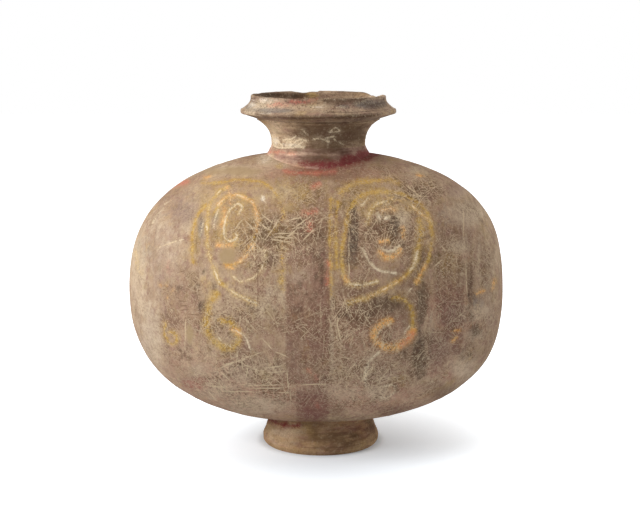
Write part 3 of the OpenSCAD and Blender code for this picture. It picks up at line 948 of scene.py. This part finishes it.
def bare_clay(paint, marks, light, middle, dark, streak_share):
    """The clay's own colour, with its tints, mottling and turning marks"""
    streaky = paint.add(paint.times(paint.field("streaky"), 0.45), streak_share)
    lighter = paint.ease(paint.add(marks.cloud, paint.times(marks.mottle, 0.6)), 0.68, 0.95)
    tone = paint.mix(lighter, middle, light)
    for pattern, low, high, share, shade in (
        (marks.hue, 0.5, 0.7, 0.5, PURPLE), (marks.hue, 0.46, 0.3, 0.36, YELLOW),
        (marks.tint, 0.52, 0.66, 0.5, MAUVE), (marks.tint, 0.46, 0.33, 0.36, OLIVE),
        (marks.broad, 0.5, 0.7, 0.28, dark), (marks.broad, 0.46, 0.28, 0.3, light),
        (marks.patchy, 0.5, 0.7, 0.28, dark), (marks.patchy, 0.46, 0.28, 0.3, light),
    ):
        tone = paint.mix(paint.ease(pattern, low, high, share), tone, shade)
    for pattern, low, high, shade in (
        (marks.drift, 0.5, 0.72, dark), (marks.drift, 0.46, 0.27, light), (marks.streak, 0.5, 0.7, dark),
    ):
        tone = paint.mix(paint.times(paint.ease(pattern, low, high), streaky), tone, shade)
    return tone


def lay_grounds(paint, marks, tone):
    """The kinds of ground, with ragged edges"""
    for ground, shade, share, unevenness in GROUNDS:
        strength = paint.field(ground)
        uneven = paint.add(strength, paint.times(paint.math("SUBTRACT", marks.blots, 0.5), unevenness))
        cover = paint.times(paint.ease(uneven, 0.22, 0.85, share), paint.ease(strength, 0.02, 0.25))
        tone = paint.mix(cover, tone, shade)
    return tone


def lay_pigments(paint, marks, tone, worn):
    """The brush strokes: a thin spread of colour, and the drawn line in its middle"""
    faded = paint.ease(marks.spots, 0.42, 0.62)
    for pigment, fresh, rubbed_off, spread_share, line_share, wear in PIGMENTS:
        shade = paint.mix(faded, fresh, rubbed_off)
        strength = paint.field(pigment + "_stroke")
        rubbed = paint.times(worn, wear)
        touched = paint.add(strength, paint.times(rubbed, paint.ease(strength, 0.0, 0.4, 0.9)))
        tone = paint.mix(paint.ease(touched, 0.1, 1.0, spread_share), tone, shade)
        aside = paint.math("SUBTRACT", paint.math("ABSOLUTE", paint.field(pigment + "_side")), rubbed)
        drawn = paint.times(paint.ease(aside, 1.5, 0.2), paint.ease(touched, 0.35, 0.9, line_share))
        tone = paint.mix(drawn, tone, shade)
    return tone


def lay_wear(paint, marks, tone, dark, hairs_at, hair_share, grit):
    """Pits, dark specks, dust and lime"""
    gaps = paint.node(
        "ShaderNodeTexVoronoi", {"Vector": hairs_at, "Scale": 1 / PIT_SIZE}, "Distance",
        feature="DISTANCE_TO_EDGE",
    )
    pits = paint.times(paint.ease(gaps, 0.08, 0.35), paint.ease(marks.blots, 0.4, 0.62), marks.rough)

    def speckle(under, pattern, low, high, rough_share, share):
        where = paint.ease(pattern, low, high)
        often = paint.add(paint.times(marks.rough, rough_share), share)
        return paint.mix(paint.times(where, often), under, dark)

    tone = paint.mix(paint.times(pits, 0.9), tone, PIT)
    tone = speckle(tone, marks.mottle, 0.49, 0.64, 0.3, 0.25)
    tone = paint.mix(paint.ease(marks.flakes, 0.53, 0.68, hair_share * 0.2 + grit * 0.8), tone, DUST)
    tone = speckle(tone, marks.spots, 0.54, 0.67, 0.55, grit)
    tone = speckle(tone, marks.grain, 0.53, 0.66, 0.45, grit)
    limy = paint.ease(paint.add(marks.fine, paint.times(marks.hue, 0.3)), 0.73, 0.86, hair_share * 0.5)
    return paint.mix(limy, tone, LIME_AND_PAINTED_LIGHT)


def lay_hairs(paint, marks, tone, dark, hairs_at, hair_share):
    """Hair-fine scratches, close together where the clay is densely hatched"""
    pale, deep = (
        paint.most(*[
            paint.fibres(cell, width, seed, hairs_at)
            for seed, (cell, width) in enumerate(hairs, first_seed)
        ])
        for hairs, first_seed in ((PALE_HAIRS, 0), (DARK_HAIRS, 20))
    )
    cover = paint.times(
        paint.ease(marks.dense, 0.36, 0.85), paint.ease(marks.fine, 0.3, 0.58), hair_share
    )
    tone = paint.mix(paint.times(deep, cover), tone, dark)
    return paint.mix(paint.times(pale, cover), tone, FIBRE)


def lay_lines(paint, marks, tone, dark, waves):
    """The long lines, waved a little and broken here and there"""
    broken = paint.ease(paint.add(marks.fine, marks.patchy), 0.72, 1.05, 0.8)
    at = paint.node("ShaderNodeAttribute", {}, "Vector", attribute_name="place")
    waving = paint.vector("SUBTRACT", waves, (0.5, 0.5, 0.5))
    at = paint.vector("ADD", at, paint.vector("SCALE", waving, scale=3.0))
    lines = paint.most(*[paint.scratch(at, start, end) for start, end in DARK_LINES])
    tone = paint.mix(paint.times(lines, broken, 0.8), tone, dark)
    lines = paint.most(*[paint.scratch(at, start, end) for start, end in SCRATCHES])
    return paint.mix(paint.times(lines, broken), tone, SCRATCHED)


def clay(
    name, light, middle, dark, streak_by, smear_by, streak_share, hair_share, grit, with_lines=False
):
    """Worn, painted, unglazed clay"""
    paint = Paint(name)
    marks = clay_marks(paint, streak_by, smear_by)
    tone = bare_clay(paint, marks, light, middle, dark, streak_share)
    tone = lay_grounds(paint, marks, tone)
    tone = paint.mix(paint.times(marks.rough, paint.ease(marks.blots, 0.35, 0.6, 0.45)), tone, dark)
    worn = paint.add(*[
        paint.times(paint.math("SUBTRACT", pattern, 0.5), 1.5) for pattern in (marks.patchy, marks.fine)
    ])
    tone = lay_pigments(paint, marks, tone, worn)

    wave_values = {"Vector": paint.place, "Scale": 1 / WAVE_SIZE, "Detail": 2.0}
    waves = paint.node("ShaderNodeTexNoise", wave_values, "Color")
    hairs_at = paint.vector("ADD", paint.place, paint.vector("SCALE", waves, scale=1.4))
    tone = lay_wear(paint, marks, tone, dark, hairs_at, hair_share, grit)
    tone = lay_hairs(paint, marks, tone, dark, hairs_at, hair_share)
    if with_lines:
        tone = lay_lines(paint, marks, tone, dark, waves)
    mended = paint.ease(paint.add(paint.field("mended"), paint.times(worn, 0.2)), 0.35, 0.7, 0.8)
    tone = paint.mix(mended, tone, MENDED)

    shader = paint.shader
    paint.feed(shader.inputs["Base Color"], tone)
    paint.feed(shader.inputs["Roughness"], paint.add(paint.ease(marks.mottle, 0.3, 0.7, 0.12), 0.82))
    shader.inputs["Specular IOR Level"].default_value = 0.15
    relief = paint.add(
        paint.times(marks.mottle, 0.5), paint.times(marks.grain, 0.35), paint.times(marks.streak, 0.4)
    )
    bump = paint.node("ShaderNodeBump", {"Strength": 0.5, "Distance": 0.0006, "Height": relief})
    paint.feed(shader.inputs["Normal"], bump)
    return paint.material


# How space is squeezed for turning marks and for smeared colours
ALONG_BODY = (1.0, 0.04, 0.04)
ROUND_BODY = (1.0, 0.6, 0.6)
ALONG_UPRIGHT = (0.04, 0.04, 1.0)
ROUND_UPRIGHT = (0.25, 0.25, 1.0)
body_clay = clay(
    "painted_body_clay", PALE_TAN, TAN, UMBER, ALONG_BODY, ROUND_BODY, 0.12, 0.95, 0.26, with_lines=True
)
neck_clay = clay(
    "turned_neck_clay", colour(224, 194, 158), colour(194, 164, 128), colour(104, 78, 56),
    ALONG_UPRIGHT, ROUND_UPRIGHT, 0.3, 0.2, 0.42,
)
rim_clay = clay(
    "worn_rim_clay", colour(198, 170, 142), colour(166, 138, 110), colour(86, 66, 52),
    ALONG_UPRIGHT, ROUND_UPRIGHT, 0.56, 0.2, 0.58,
)
coil_clay = clay(
    "red_coil_clay", colour(230, 196, 168), colour(204, 166, 144), colour(110, 70, 60),
    ALONG_UPRIGHT, ROUND_UPRIGHT, 0.3, 0.1, 0.2,
)
foot_clay = clay(
    "turned_foot_clay", colour(196, 162, 122), colour(170, 136, 100), colour(104, 76, 50),
    ALONG_UPRIGHT, ROUND_UPRIGHT, 0.38, 0.1, 0.3,
)


def finish_piece(thing, node, material, sharp_angle=40, with_bands=False):
    store_paint(thing, with_bands)
    thing.data.materials.clear()
    thing.data.materials.append(material)
    thing.data.shade_smooth()
    thing.data.set_sharp_from_angle(angle=math.radians(sharp_angle))
    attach(thing, "root")
    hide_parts(node)


# Pieces
FRONT_COLUMNS = 196
TOP_COLUMNS = 44
OUTER_ROWS = 176
INNER_ROWS = 24
FRONT_SPAN = 62.0  # degrees above and below the level of the axis that carry close columns
HOLE_TURNS = 160
SEAM_TURNS = 420
SEAM_SUNK = 0.08   # depth of the body's seam under the skin
SLIP_TURNS = 240   # points round each of the other seams


def column_angles():
    """Angles round the long axis from the front over the top, close together on the front and the back"""
    span = FRONT_SPAN
    stretches = [
        (-span, span, FRONT_COLUMNS), (span, 180 - span, TOP_COLUMNS),
        (180 - span, 180 + span, FRONT_COLUMNS), (180 + span, 360 - span, TOP_COLUMNS),
    ]
    return np.radians(np.concatenate([np.linspace(a, b, n, endpoint=False) for a, b, n in stretches]))


def half_skin(length, powers, direction):
    """Points of a thrown half: its inner skin from the end to the seam, then its outer skin back"""
    outer = half_outline(length, body_r, powers, OUTER_ROWS)
    inner = half_outline(length - WALL, body_r - WALL, powers, INNER_ROWS)[::-1]
    angles = column_angles()
    ways = np.stack([np.zeros_like(angles), -np.cos(angles), np.sin(angles)], axis=-1)
    along = np.array([direction, 0.0, 0.0])
    start = np.array([seam_x, 0.0, axis_h])

    def rings(rows):
        return start + rows[:, None, 1:] * along + rows[:, None, :1] * ways[None]

    slope = np.gradient(outer, axis=0)
    normal = np.column_stack([slope[:, 1], -slope[:, 0]])
    normal /= np.linalg.norm(normal, axis=1)[:, None]
    skin = rings(outer)
    lift = body_unevenness(skin.reshape(-1, 3)).reshape(skin.shape[:2])
    skin = skin + lift[..., None] * (normal[:, None, 1:] * along + normal[:, None, :1] * ways[None])
    end_in = start + along * (length - WALL)
    end_out = start + along * length
    points = np.vstack([end_in, rings(inner).reshape(-1, 3), skin.reshape(-1, 3), end_out])
    return points, capsule_faces(INNER_ROWS + OUTER_ROWS, len(angles))


def cut_neck_hole(thing):
    angle = turn_angles(HOLE_TURNS)
    ring = np.column_stack([neck_x + bore_r * np.cos(angle), bore_r * np.sin(angle)])
    low = np.column_stack([ring, np.full(HOLE_TURNS, axis_h + body_r / 2)])
    high = np.column_stack([ring, np.full(HOLE_TURNS, crown_h + body_r)])
    below = np.arange(HOLE_TURNS)
    after = (below + 1) % HOLE_TURNS
    walls = np.column_stack([below, after, HOLE_TURNS + after, HOLE_TURNS + below]).tolist()
    ends = [below.tolist(), (HOLE_TURNS + below).tolist()]
    cutter = make_object("cutter", np.vstack([low, high]), walls + ends)
    cut = thing.modifiers.new("hole", "BOOLEAN")
    cut.operation = "DIFFERENCE"
    cut.solver = "MANIFOLD"
    cut.object = cutter
    graph = bpy.context.evaluated_depsgraph_get()
    opened = bpy.data.meshes.new_from_object(thing.evaluated_get(graph))
    thing.modifiers.clear()
    thing.data = opened
    bpy.data.objects.remove(cutter)


def make_halves():
    for node, length, powers, direction in (
        ("left_body_half", left_len, LEFT_POWERS, -1.0),
        ("right_body_half", right_len, RIGHT_POWERS, 1.0),
    ):
        points, faces = half_skin(length, powers, direction)
        half = make_object(node + "_skin", points, faces)
        cut_neck_hole(half)
        finish_piece(half, node, body_clay, with_bands=True)


def make_body_seam():
    """The slip between the halves: a ring with its ends at the neck's hole"""
    half_gap = math.sqrt(bore_r**2 - (seam_x - neck_x) ** 2)
    share = np.linspace(0, 1, SEAM_TURNS)
    corners = [(body_r, -1), (body_r, 1), (body_r - WALL, 1), (body_r - WALL, -1)]
    rows = []
    for radius, side in corners:
        edge = math.asin(half_gap / radius)
        angle = edge + share * (2 * math.pi - 2 * edge)
        out = np.column_stack([np.zeros(SEAM_TURNS), np.sin(angle), np.cos(angle)])
        ring = np.array([seam_x + side * slip_t / 2, 0, axis_h]) + radius * out
        if radius == body_r:
            ring = ring + (body_unevenness(ring) - SEAM_SUNK)[:, None] * out
        rows.append(ring)
    count = len(corners)
    points = np.stack(rows, axis=1).reshape(-1, 3)
    ends = [list(range(count)), list(range(len(points) - count, len(points)))]
    faces = loop_faces(SEAM_TURNS, count)[:-count] + ends
    seam = make_object("body_seam_line", points, faces)
    finish_piece(seam, "body_seam_slip", body_clay, with_bands=True)


NECK_TURNS = 340
NECK_RIPPLE = 0.28


def neck_outline():
    """[radius, height, share of the way from the waist down to the body] round the neck's wall"""
    centre = (NECK_R + flare_r, waist_z)
    outer_end = 180 - math.degrees(math.asin(flare_h / flare_r))
    inner_end = 180 - math.degrees(math.asin(flare_h / (flare_r + NECK_WALL)))
    curved = np.vstack([
        arc(centre, flare_r, 180, outer_end, 46),
        line((neck_top_r, neck_top), (mouth_in_r, neck_top), 7),
        arc(centre, flare_r + NECK_WALL, inner_end, 180, 30),
    ])

    def sunk(radius, shares):
        return np.column_stack([np.full(len(shares), radius), np.full(len(shares), waist_z), shares])

    flat = np.column_stack([curved, np.zeros(len(curved))])
    outer_foot = sunk(NECK_R, 1 - np.arange(16) / 16)
    inner_foot = sunk(bore_r, np.arange(13) / 12)
    base = line((bore_r, waist_z, 1), (NECK_R, waist_z, 1), 5)[1:]
    return np.vstack([outer_foot, flat, inner_foot, base])


def make_neck():
    outline = neck_outline()
    angles = turn_angles(NECK_TURNS)
    radius, height, sunk = (np.broadcast_to(c, (NECK_TURNS, len(outline))) for c in outline.T)
    x = neck_x + radius * np.cos(angles)[:, None]
    y = radius * np.sin(angles)[:, None]
    height = height - sunk * (waist_z - body_top(x, y, slip_t))
    rows = outline[:, 1]
    free = smooth_step(rows, waist_z - 1, waist_z + 2)
    free = free * (1 - smooth_step(rows, neck_top - 1.5, neck_top - 0.2))
    turning = ring_noise(angles * 0.2, rows, 6.0, 1.6, 5) + 0.6 * ring_noise(angles, rows, NECK_R, 5.0, 6)
    neck = upright_ring("neck_collar", neck_x, radius + NECK_RIPPLE * turning * free, height)
    finish_piece(neck, "neck", neck_clay)


def make_neck_seam():
    angles = turn_angles(SLIP_TURNS)[:, None]
    radius = np.broadcast_to([bore_r, NECK_R, NECK_R, bore_r], (SLIP_TURNS, 4))
    grow = np.array([0.0, 0.0, slip_t, slip_t])
    height = body_top(neck_x + radius * np.cos(angles), radius * np.sin(angles), grow)
    seam = upright_ring("neck_seam_line", neck_x, radius, height)
    finish_piece(seam, "neck_seam_slip", neck_clay)


COIL_TURNS = 340
COIL_FACE = 30
COIL_LUMP = 0.35
COIL_STEPS = 400   # close points along the face, from which its rows are taken
COIL_UNDER = 9
COIL_MEETS = 0.02  # height over the body at which the face ends
COIL_LENGTH = 30.0  # length over which the lumps vary round a section


def make_coil():
    """The coil's face falls from the neck to where it meets the body, further out at front and back"""
    out_r = NECK_R + COIL_W
    up = (NECK_R, crown_h + COIL_H)
    out = (out_r, axis_h + math.sqrt(body_r**2 - out_r**2) - 1)
    face = bend(up, (NECK_R + COIL_W / 4, crown_h - COIL_H / 2), out, COIL_STEPS)
    angles = turn_angles(COIL_TURNS)
    radius, height = [], []
    for angle in angles:
        over = face[:, 1] - body_top(neck_x + face[:, 0] * math.cos(angle), face[:, 0] * math.sin(angle))
        met = over < COIL_MEETS
        last = np.argmax(met) if met.any() else len(face) - 1
        shown = face[np.linspace(0, last, COIL_FACE).astype(int)]
        under = np.linspace(shown[-1, 0], NECK_R, COIL_UNDER)[1:]
        floor = body_top(neck_x + under * math.cos(angle), under * math.sin(angle))
        radius.append(np.concatenate([shown[:, 0], under]))
        height.append(np.concatenate([shown[:, 1], floor]))
    radius, height = np.array(radius), np.array(height)
    ramp = np.zeros(radius.shape[1])
    ramp[:COIL_FACE] = np.sin(np.linspace(0, math.pi, COIL_FACE))
    rows = np.linspace(0, COIL_LENGTH, radius.shape[1])
    lump = ring_noise(angles, rows, NECK_R, 9.0, 8) + 0.6 * ring_noise(angles, rows, NECK_R, 3.5, 9)
    coil = upright_ring("neck_coil", neck_x, radius + COIL_LUMP * lump * ramp, height)
    finish_piece(coil, "neck_luting_coil", coil_clay)


RIM_TURNS = 420
NOSE_ENDS = (-75, 60)  # degrees at which the flange's round edge ends below and above
# How far the lip is broken down: (degrees from the right end, depth)
LIP_WEAR = [
    (0, 0.6), (6, 0.7), (11, 1.0), (18, 2.3), (27, 3.3), (35, 2.6), (42, 0.8), (46, 0.2), (89, 0.0),
    (91, 0.9), (97, 1.0), (104, 1.6), (111, 1.0), (116, 0.1), (150, 0.1), (157, 0.8), (164, 0.2),
    (215, 0.2), (222, 0.6), (229, 0.2), (247, 0.6), (254, 0.2), (294, 0.1), (300, 0.4), (306, 0.1),
    (354, 0.3), (360, 0.6),
]
# Chips in the edge of the flange: (middle in degrees from the right end, half width, depth)
FLANGE_CHIPS = [
    (-150, 5, 1.2), (-128, 3, 0.7), (-75, 4, 0.6), (-20, 4, 0.8), (40, 6, 1.3), (95, 4, 0.8),
    (140, 5, 1.0),
]


def chips(angles, marks):
    """Depth of the chips round a rim, with steep ragged ends"""
    total = np.zeros(len(angles))
    for middle, half, depth in marks:
        away = (np.degrees(angles) - middle + 180) % 360 - 180
        total += depth * (1 - smooth_step(np.abs(away), half * 0.55, half))
    return total


def rim_outline():
    nose_r = FLANGE_T / 2
    nose = np.array([rim_r - nose_r, FLANGE_H])
    lip_h = rim_top - rim_z
    lip_side = (LIP_R, lip_h - LIP_T / 2)
    ends = np.radians(NOSE_ENDS)
    nose_low, nose_top = nose + nose_r * np.column_stack([np.cos(ends), np.sin(ends)])
    ridge = (LIP_R - LIP_T * 0.3, lip_h)
    lip_in = (LIP_R - LIP_T, lip_h - LIP_T * 0.75)
    return np.vstack([
        line((mouth_in_r, 0), (neck_top_r, 0), 8),
        line((neck_top_r, 0), nose_low, 16),
        bend(nose_low, (rim_r, FLANGE_H - nose_r), (rim_r, FLANGE_H), 8),
        bend((rim_r, FLANGE_H), (rim_r, FLANGE_H + nose_r), nose_top, 8),
        bend(nose_top, (LIP_R, FLANGE_H + FLANGE_T * 1.5), lip_side, 30),
        bend(lip_side, (LIP_R, lip_h), ridge, 8),
        bend(ridge, (LIP_R - LIP_T * 0.7, lip_h), lip_in, 10),
        bend(lip_in, (LIP_R - LIP_T * 2, FLANGE_H), (mouth_in_r, 0), 34),
    ])


def make_rim():
    outline = rim_outline()
    angles = turn_angles(RIM_TURNS)
    rows = outline[:, 1]
    level = np.zeros(1)
    ragged = ring_noise(angles, level, LIP_R, 9.0, 12) + 0.5 * ring_noise(angles, level, LIP_R, 3.0, 11)
    drop = np.interp(np.degrees(angles), *np.array(LIP_WEAR).T)[:, None]
    drop = drop * (1 + 0.3 * ragged) + 0.2 + 0.2 * ragged
    height = rows - drop * smooth_step(rows, FLANGE_H + 4, rim_top - rim_z)
    edge_share = smooth_step(outline[:, 0], LIP_R + 4, rim_r - 0.5)
    wobble = 0.35 * ring_noise(angles, rows, rim_r, 14.0, 13)
    wobble += 0.2 * ring_noise(angles, rows, rim_r, 4.0, 14)
    free = smooth_step(rows, 0.3, 2.0)
    worn_off = (chips(angles, FLANGE_CHIPS)[:, None] + 0.3) * edge_share
    rim = upright_ring("mouth_rim_ring", neck_x, outline[:, 0] - worn_off + wobble * free, rim_z + height)
    finish_piece(rim, "mouth_rim", rim_clay, sharp_angle=50)


def make_rim_seam():
    inner = mouth_in_r + 0.2
    outer = neck_top_r - 0.5
    radius = np.broadcast_to([inner, outer, outer, inner], (SLIP_TURNS, 4))
    height = np.broadcast_to([neck_top, neck_top, rim_z, rim_z], (SLIP_TURNS, 4))
    seam = upright_ring("rim_seam_line", neck_x, radius, height)
    finish_piece(seam, "rim_seam_slip", neck_clay)


FOOT_TURNS = 360
FOOT_RIPPLE = 0.25
REST_ROWS = 9
WALL_ROWS = 24
MEETING_PASSES = 6
foot_lean = (foot_r - FOOT_TOP_R) / (foot_h - FOOT_EDGE_H)


def foot_wall_top(angles, inset, grow):
    """Radius and height at which the foot's sloping wall, or its inside, meets the grown body"""
    height = np.full(len(angles), foot_h)
    for _ in range(MEETING_PASSES):
        radius = FOOT_TOP_R - inset - foot_lean * (height - foot_h)
        height = body_under(foot_x + radius * np.cos(angles), radius * np.sin(angles), grow)
    return radius, height


def make_foot():
    angles = turn_angles(FOOT_TURNS)
    rest_in = FOOT_REST_R - FOOT_REST_W
    knee = (foot_r - foot_lean * FOOT_EDGE_H * 2, FOOT_EDGE_H * 3)
    low = np.vstack([
        line((rest_in, 0), (FOOT_REST_R, 0), REST_ROWS),
        bend((FOOT_REST_R, 0), (foot_r, FOOT_EDGE_H / 2), (foot_r, FOOT_EDGE_H), 10),
        bend((foot_r, FOOT_EDGE_H), (foot_r, FOOT_EDGE_H * 2), knee, 16),
    ])
    out_top = np.column_stack(foot_wall_top(angles, 0.0, slip_t))
    in_top = np.column_stack(foot_wall_top(angles, FOOT_WALL, slip_t))
    sections = np.array([
        np.vstack([
            low, line(knee, outer_end, WALL_ROWS), line(outer_end, inner_end, 7),
            line(inner_end, (rest_in, 0), WALL_ROWS),
        ])
        for outer_end, inner_end in zip(out_top, in_top)
    ])
    radius, height = sections[..., 0], sections[..., 1]
    rows = sections[0, :, 1]
    shown = np.zeros(len(rows))
    shown[REST_ROWS:len(low) + WALL_ROWS - 2] = 1
    free = shown * smooth_step(rows, 0.2, 2.5)
    turning = ring_noise(angles * 0.2, rows, 6.0, 1.5, 21)
    turning += 0.5 * ring_noise(angles, rows, foot_r, 7.0, 22)
    foot = upright_ring("foot_ring_wall", foot_x, radius + FOOT_RIPPLE * (turning - 0.6) * free, height)
    finish_piece(foot, "foot_ring", foot_clay)


def make_foot_seam():
    angles = turn_angles(SLIP_TURNS)
    corners = ((0.0, slip_t), (FOOT_WALL, slip_t), (FOOT_WALL, 0.0), (0.0, 0.0))
    rings = np.array([foot_wall_top(angles, inset, grow) for inset, grow in corners])
    seam = upright_ring("foot_seam_line", foot_x, rings[:, 0].T, rings[:, 1].T)
    finish_piece(seam, "foot_seam_slip", foot_clay)


# Stage
FLOOR_HALF = 4.0  # metres
FLOOR_COLOUR = (0.8, 0.86, 0.92, 1)
SHADOW_SQUEEZE = (0.88, 0.8, 0)
SHADOW_REACH = (8.0, 205.0)  # distances at which the painted shadow in the floor's glow starts to fade and ends
CONTACT_W = 10.0  # width of the painted contact shadow round the foot, where the floor's glow is lowered
shadow_at = (foot_x + 12, 6 - FOOT_REST_R, 0)
# Lamps: (name, place in metres, size, power)
LAMPS = [
    ("key_lamp", (-1.9, -0.85, 1.2), 1.1, 46), ("top_lamp", (0.1, -0.3, 2.0), 1.5, 10),
    ("fill_lamp", (1.8, -1.6, 0.8), 1.4, 7), ("edge_lamp", (1.5, 0.9, 0.7), 0.8, 8),
]
LAMP_AIM = (0.0, 0.0, 0.14)
ROOM_LIGHT = 0.24  # light of the white surround on the jar


def make_floor():
    corners = [(-FLOOR_HALF, -FLOOR_HALF, 0), (FLOOR_HALF, -FLOOR_HALF, 0), (FLOOR_HALF, FLOOR_HALF, 0)]
    mesh = bpy.data.meshes.new("floor")
    mesh.from_pydata([*corners, (-FLOOR_HALF, FLOOR_HALF, 0)], [], [[0, 1, 2, 3]])
    floor = bpy.data.objects.new("floor", mesh)
    bpy.context.scene.collection.objects.link(floor)
    paint = Paint("white_floor")
    paint.shader.inputs["Base Color"].default_value = FLOOR_COLOUR
    paint.shader.inputs["Roughness"].default_value = 0.9
    paint.shader.inputs["Specular IOR Level"].default_value = 0.0

    def distance_from(place, squeeze):
        offset = paint.vector("SUBTRACT", paint.place, place)
        return paint.vector("LENGTH", paint.vector("MULTIPLY", offset, squeeze), result=1)

    seen = paint.node("ShaderNodeLightPath", {})
    from_front = distance_from(shadow_at, SHADOW_SQUEEZE)
    from_foot = distance_from((foot_x, 0, 0), (1, 1, 0))
    # The floor's glow, seen only by the camera, is lowered round the jar and most at the foot's edge: a
    # painted shadow added to the lamps' own
    glow = paint.add(paint.ease(from_front, *SHADOW_REACH, 0.8), 0.2)
    contact = paint.ease(from_foot, FOOT_REST_R, FOOT_REST_R + CONTACT_W, 0.75)
    glow = paint.times(glow, paint.add(contact, 0.25))
    paint.shader.inputs["Emission Color"].default_value = (1, 1, 1, 1)
    paint.feed(paint.shader.inputs["Emission Strength"], paint.times(seen, glow))
    floor.data.materials.append(paint.material)


def make_lamp(name, place, size, power):
    data = bpy.data.lights.new(name, "AREA")
    data.shape = "DISK"
    data.size = size
    data.energy = power
    lamp = bpy.data.objects.new(name, data)
    lamp.location = place
    lamp.rotation_euler = (Vector(LAMP_AIM) - Vector(place)).to_track_quat("-Z", "Y").to_euler()
    bpy.context.scene.collection.objects.link(lamp)


def make_light():
    for lamp in LAMPS:
        make_lamp(*lamp)
    world = bpy.data.worlds.new("studio")
    bpy.context.scene.world = world
    world.use_nodes = True
    tree = world.node_tree
    path = tree.nodes.new("ShaderNodeLightPath")
    seen = path.outputs["Is Camera Ray"]
    for ray in ("Is Glossy Ray", "Is Transmission Ray"):
        either = tree.nodes.new("ShaderNodeMath")
        either.operation = "MAXIMUM"
        tree.links.new(seen, either.inputs[0])
        tree.links.new(path.outputs[ray], either.inputs[1])
        seen = either.outputs[0]
    level = tree.nodes.new("ShaderNodeMapRange")
    level.inputs["To Min"].default_value = ROOM_LIGHT
    level.inputs["To Max"].default_value = 1.0
    tree.links.new(seen, level.inputs["Value"])
    tree.nodes["Background"].inputs["Color"].default_value = (1, 1, 1, 1)
    tree.links.new(level.outputs[0], tree.nodes["Background"].inputs["Strength"])


make_camera()
make_halves()
make_body_seam()
make_neck()
make_neck_seam()
make_coil()
make_rim()
make_rim_seam()
make_foot()
make_foot_seam()
make_floor()
make_light()
bpy.context.scene.view_settings.view_transform = "Standard"
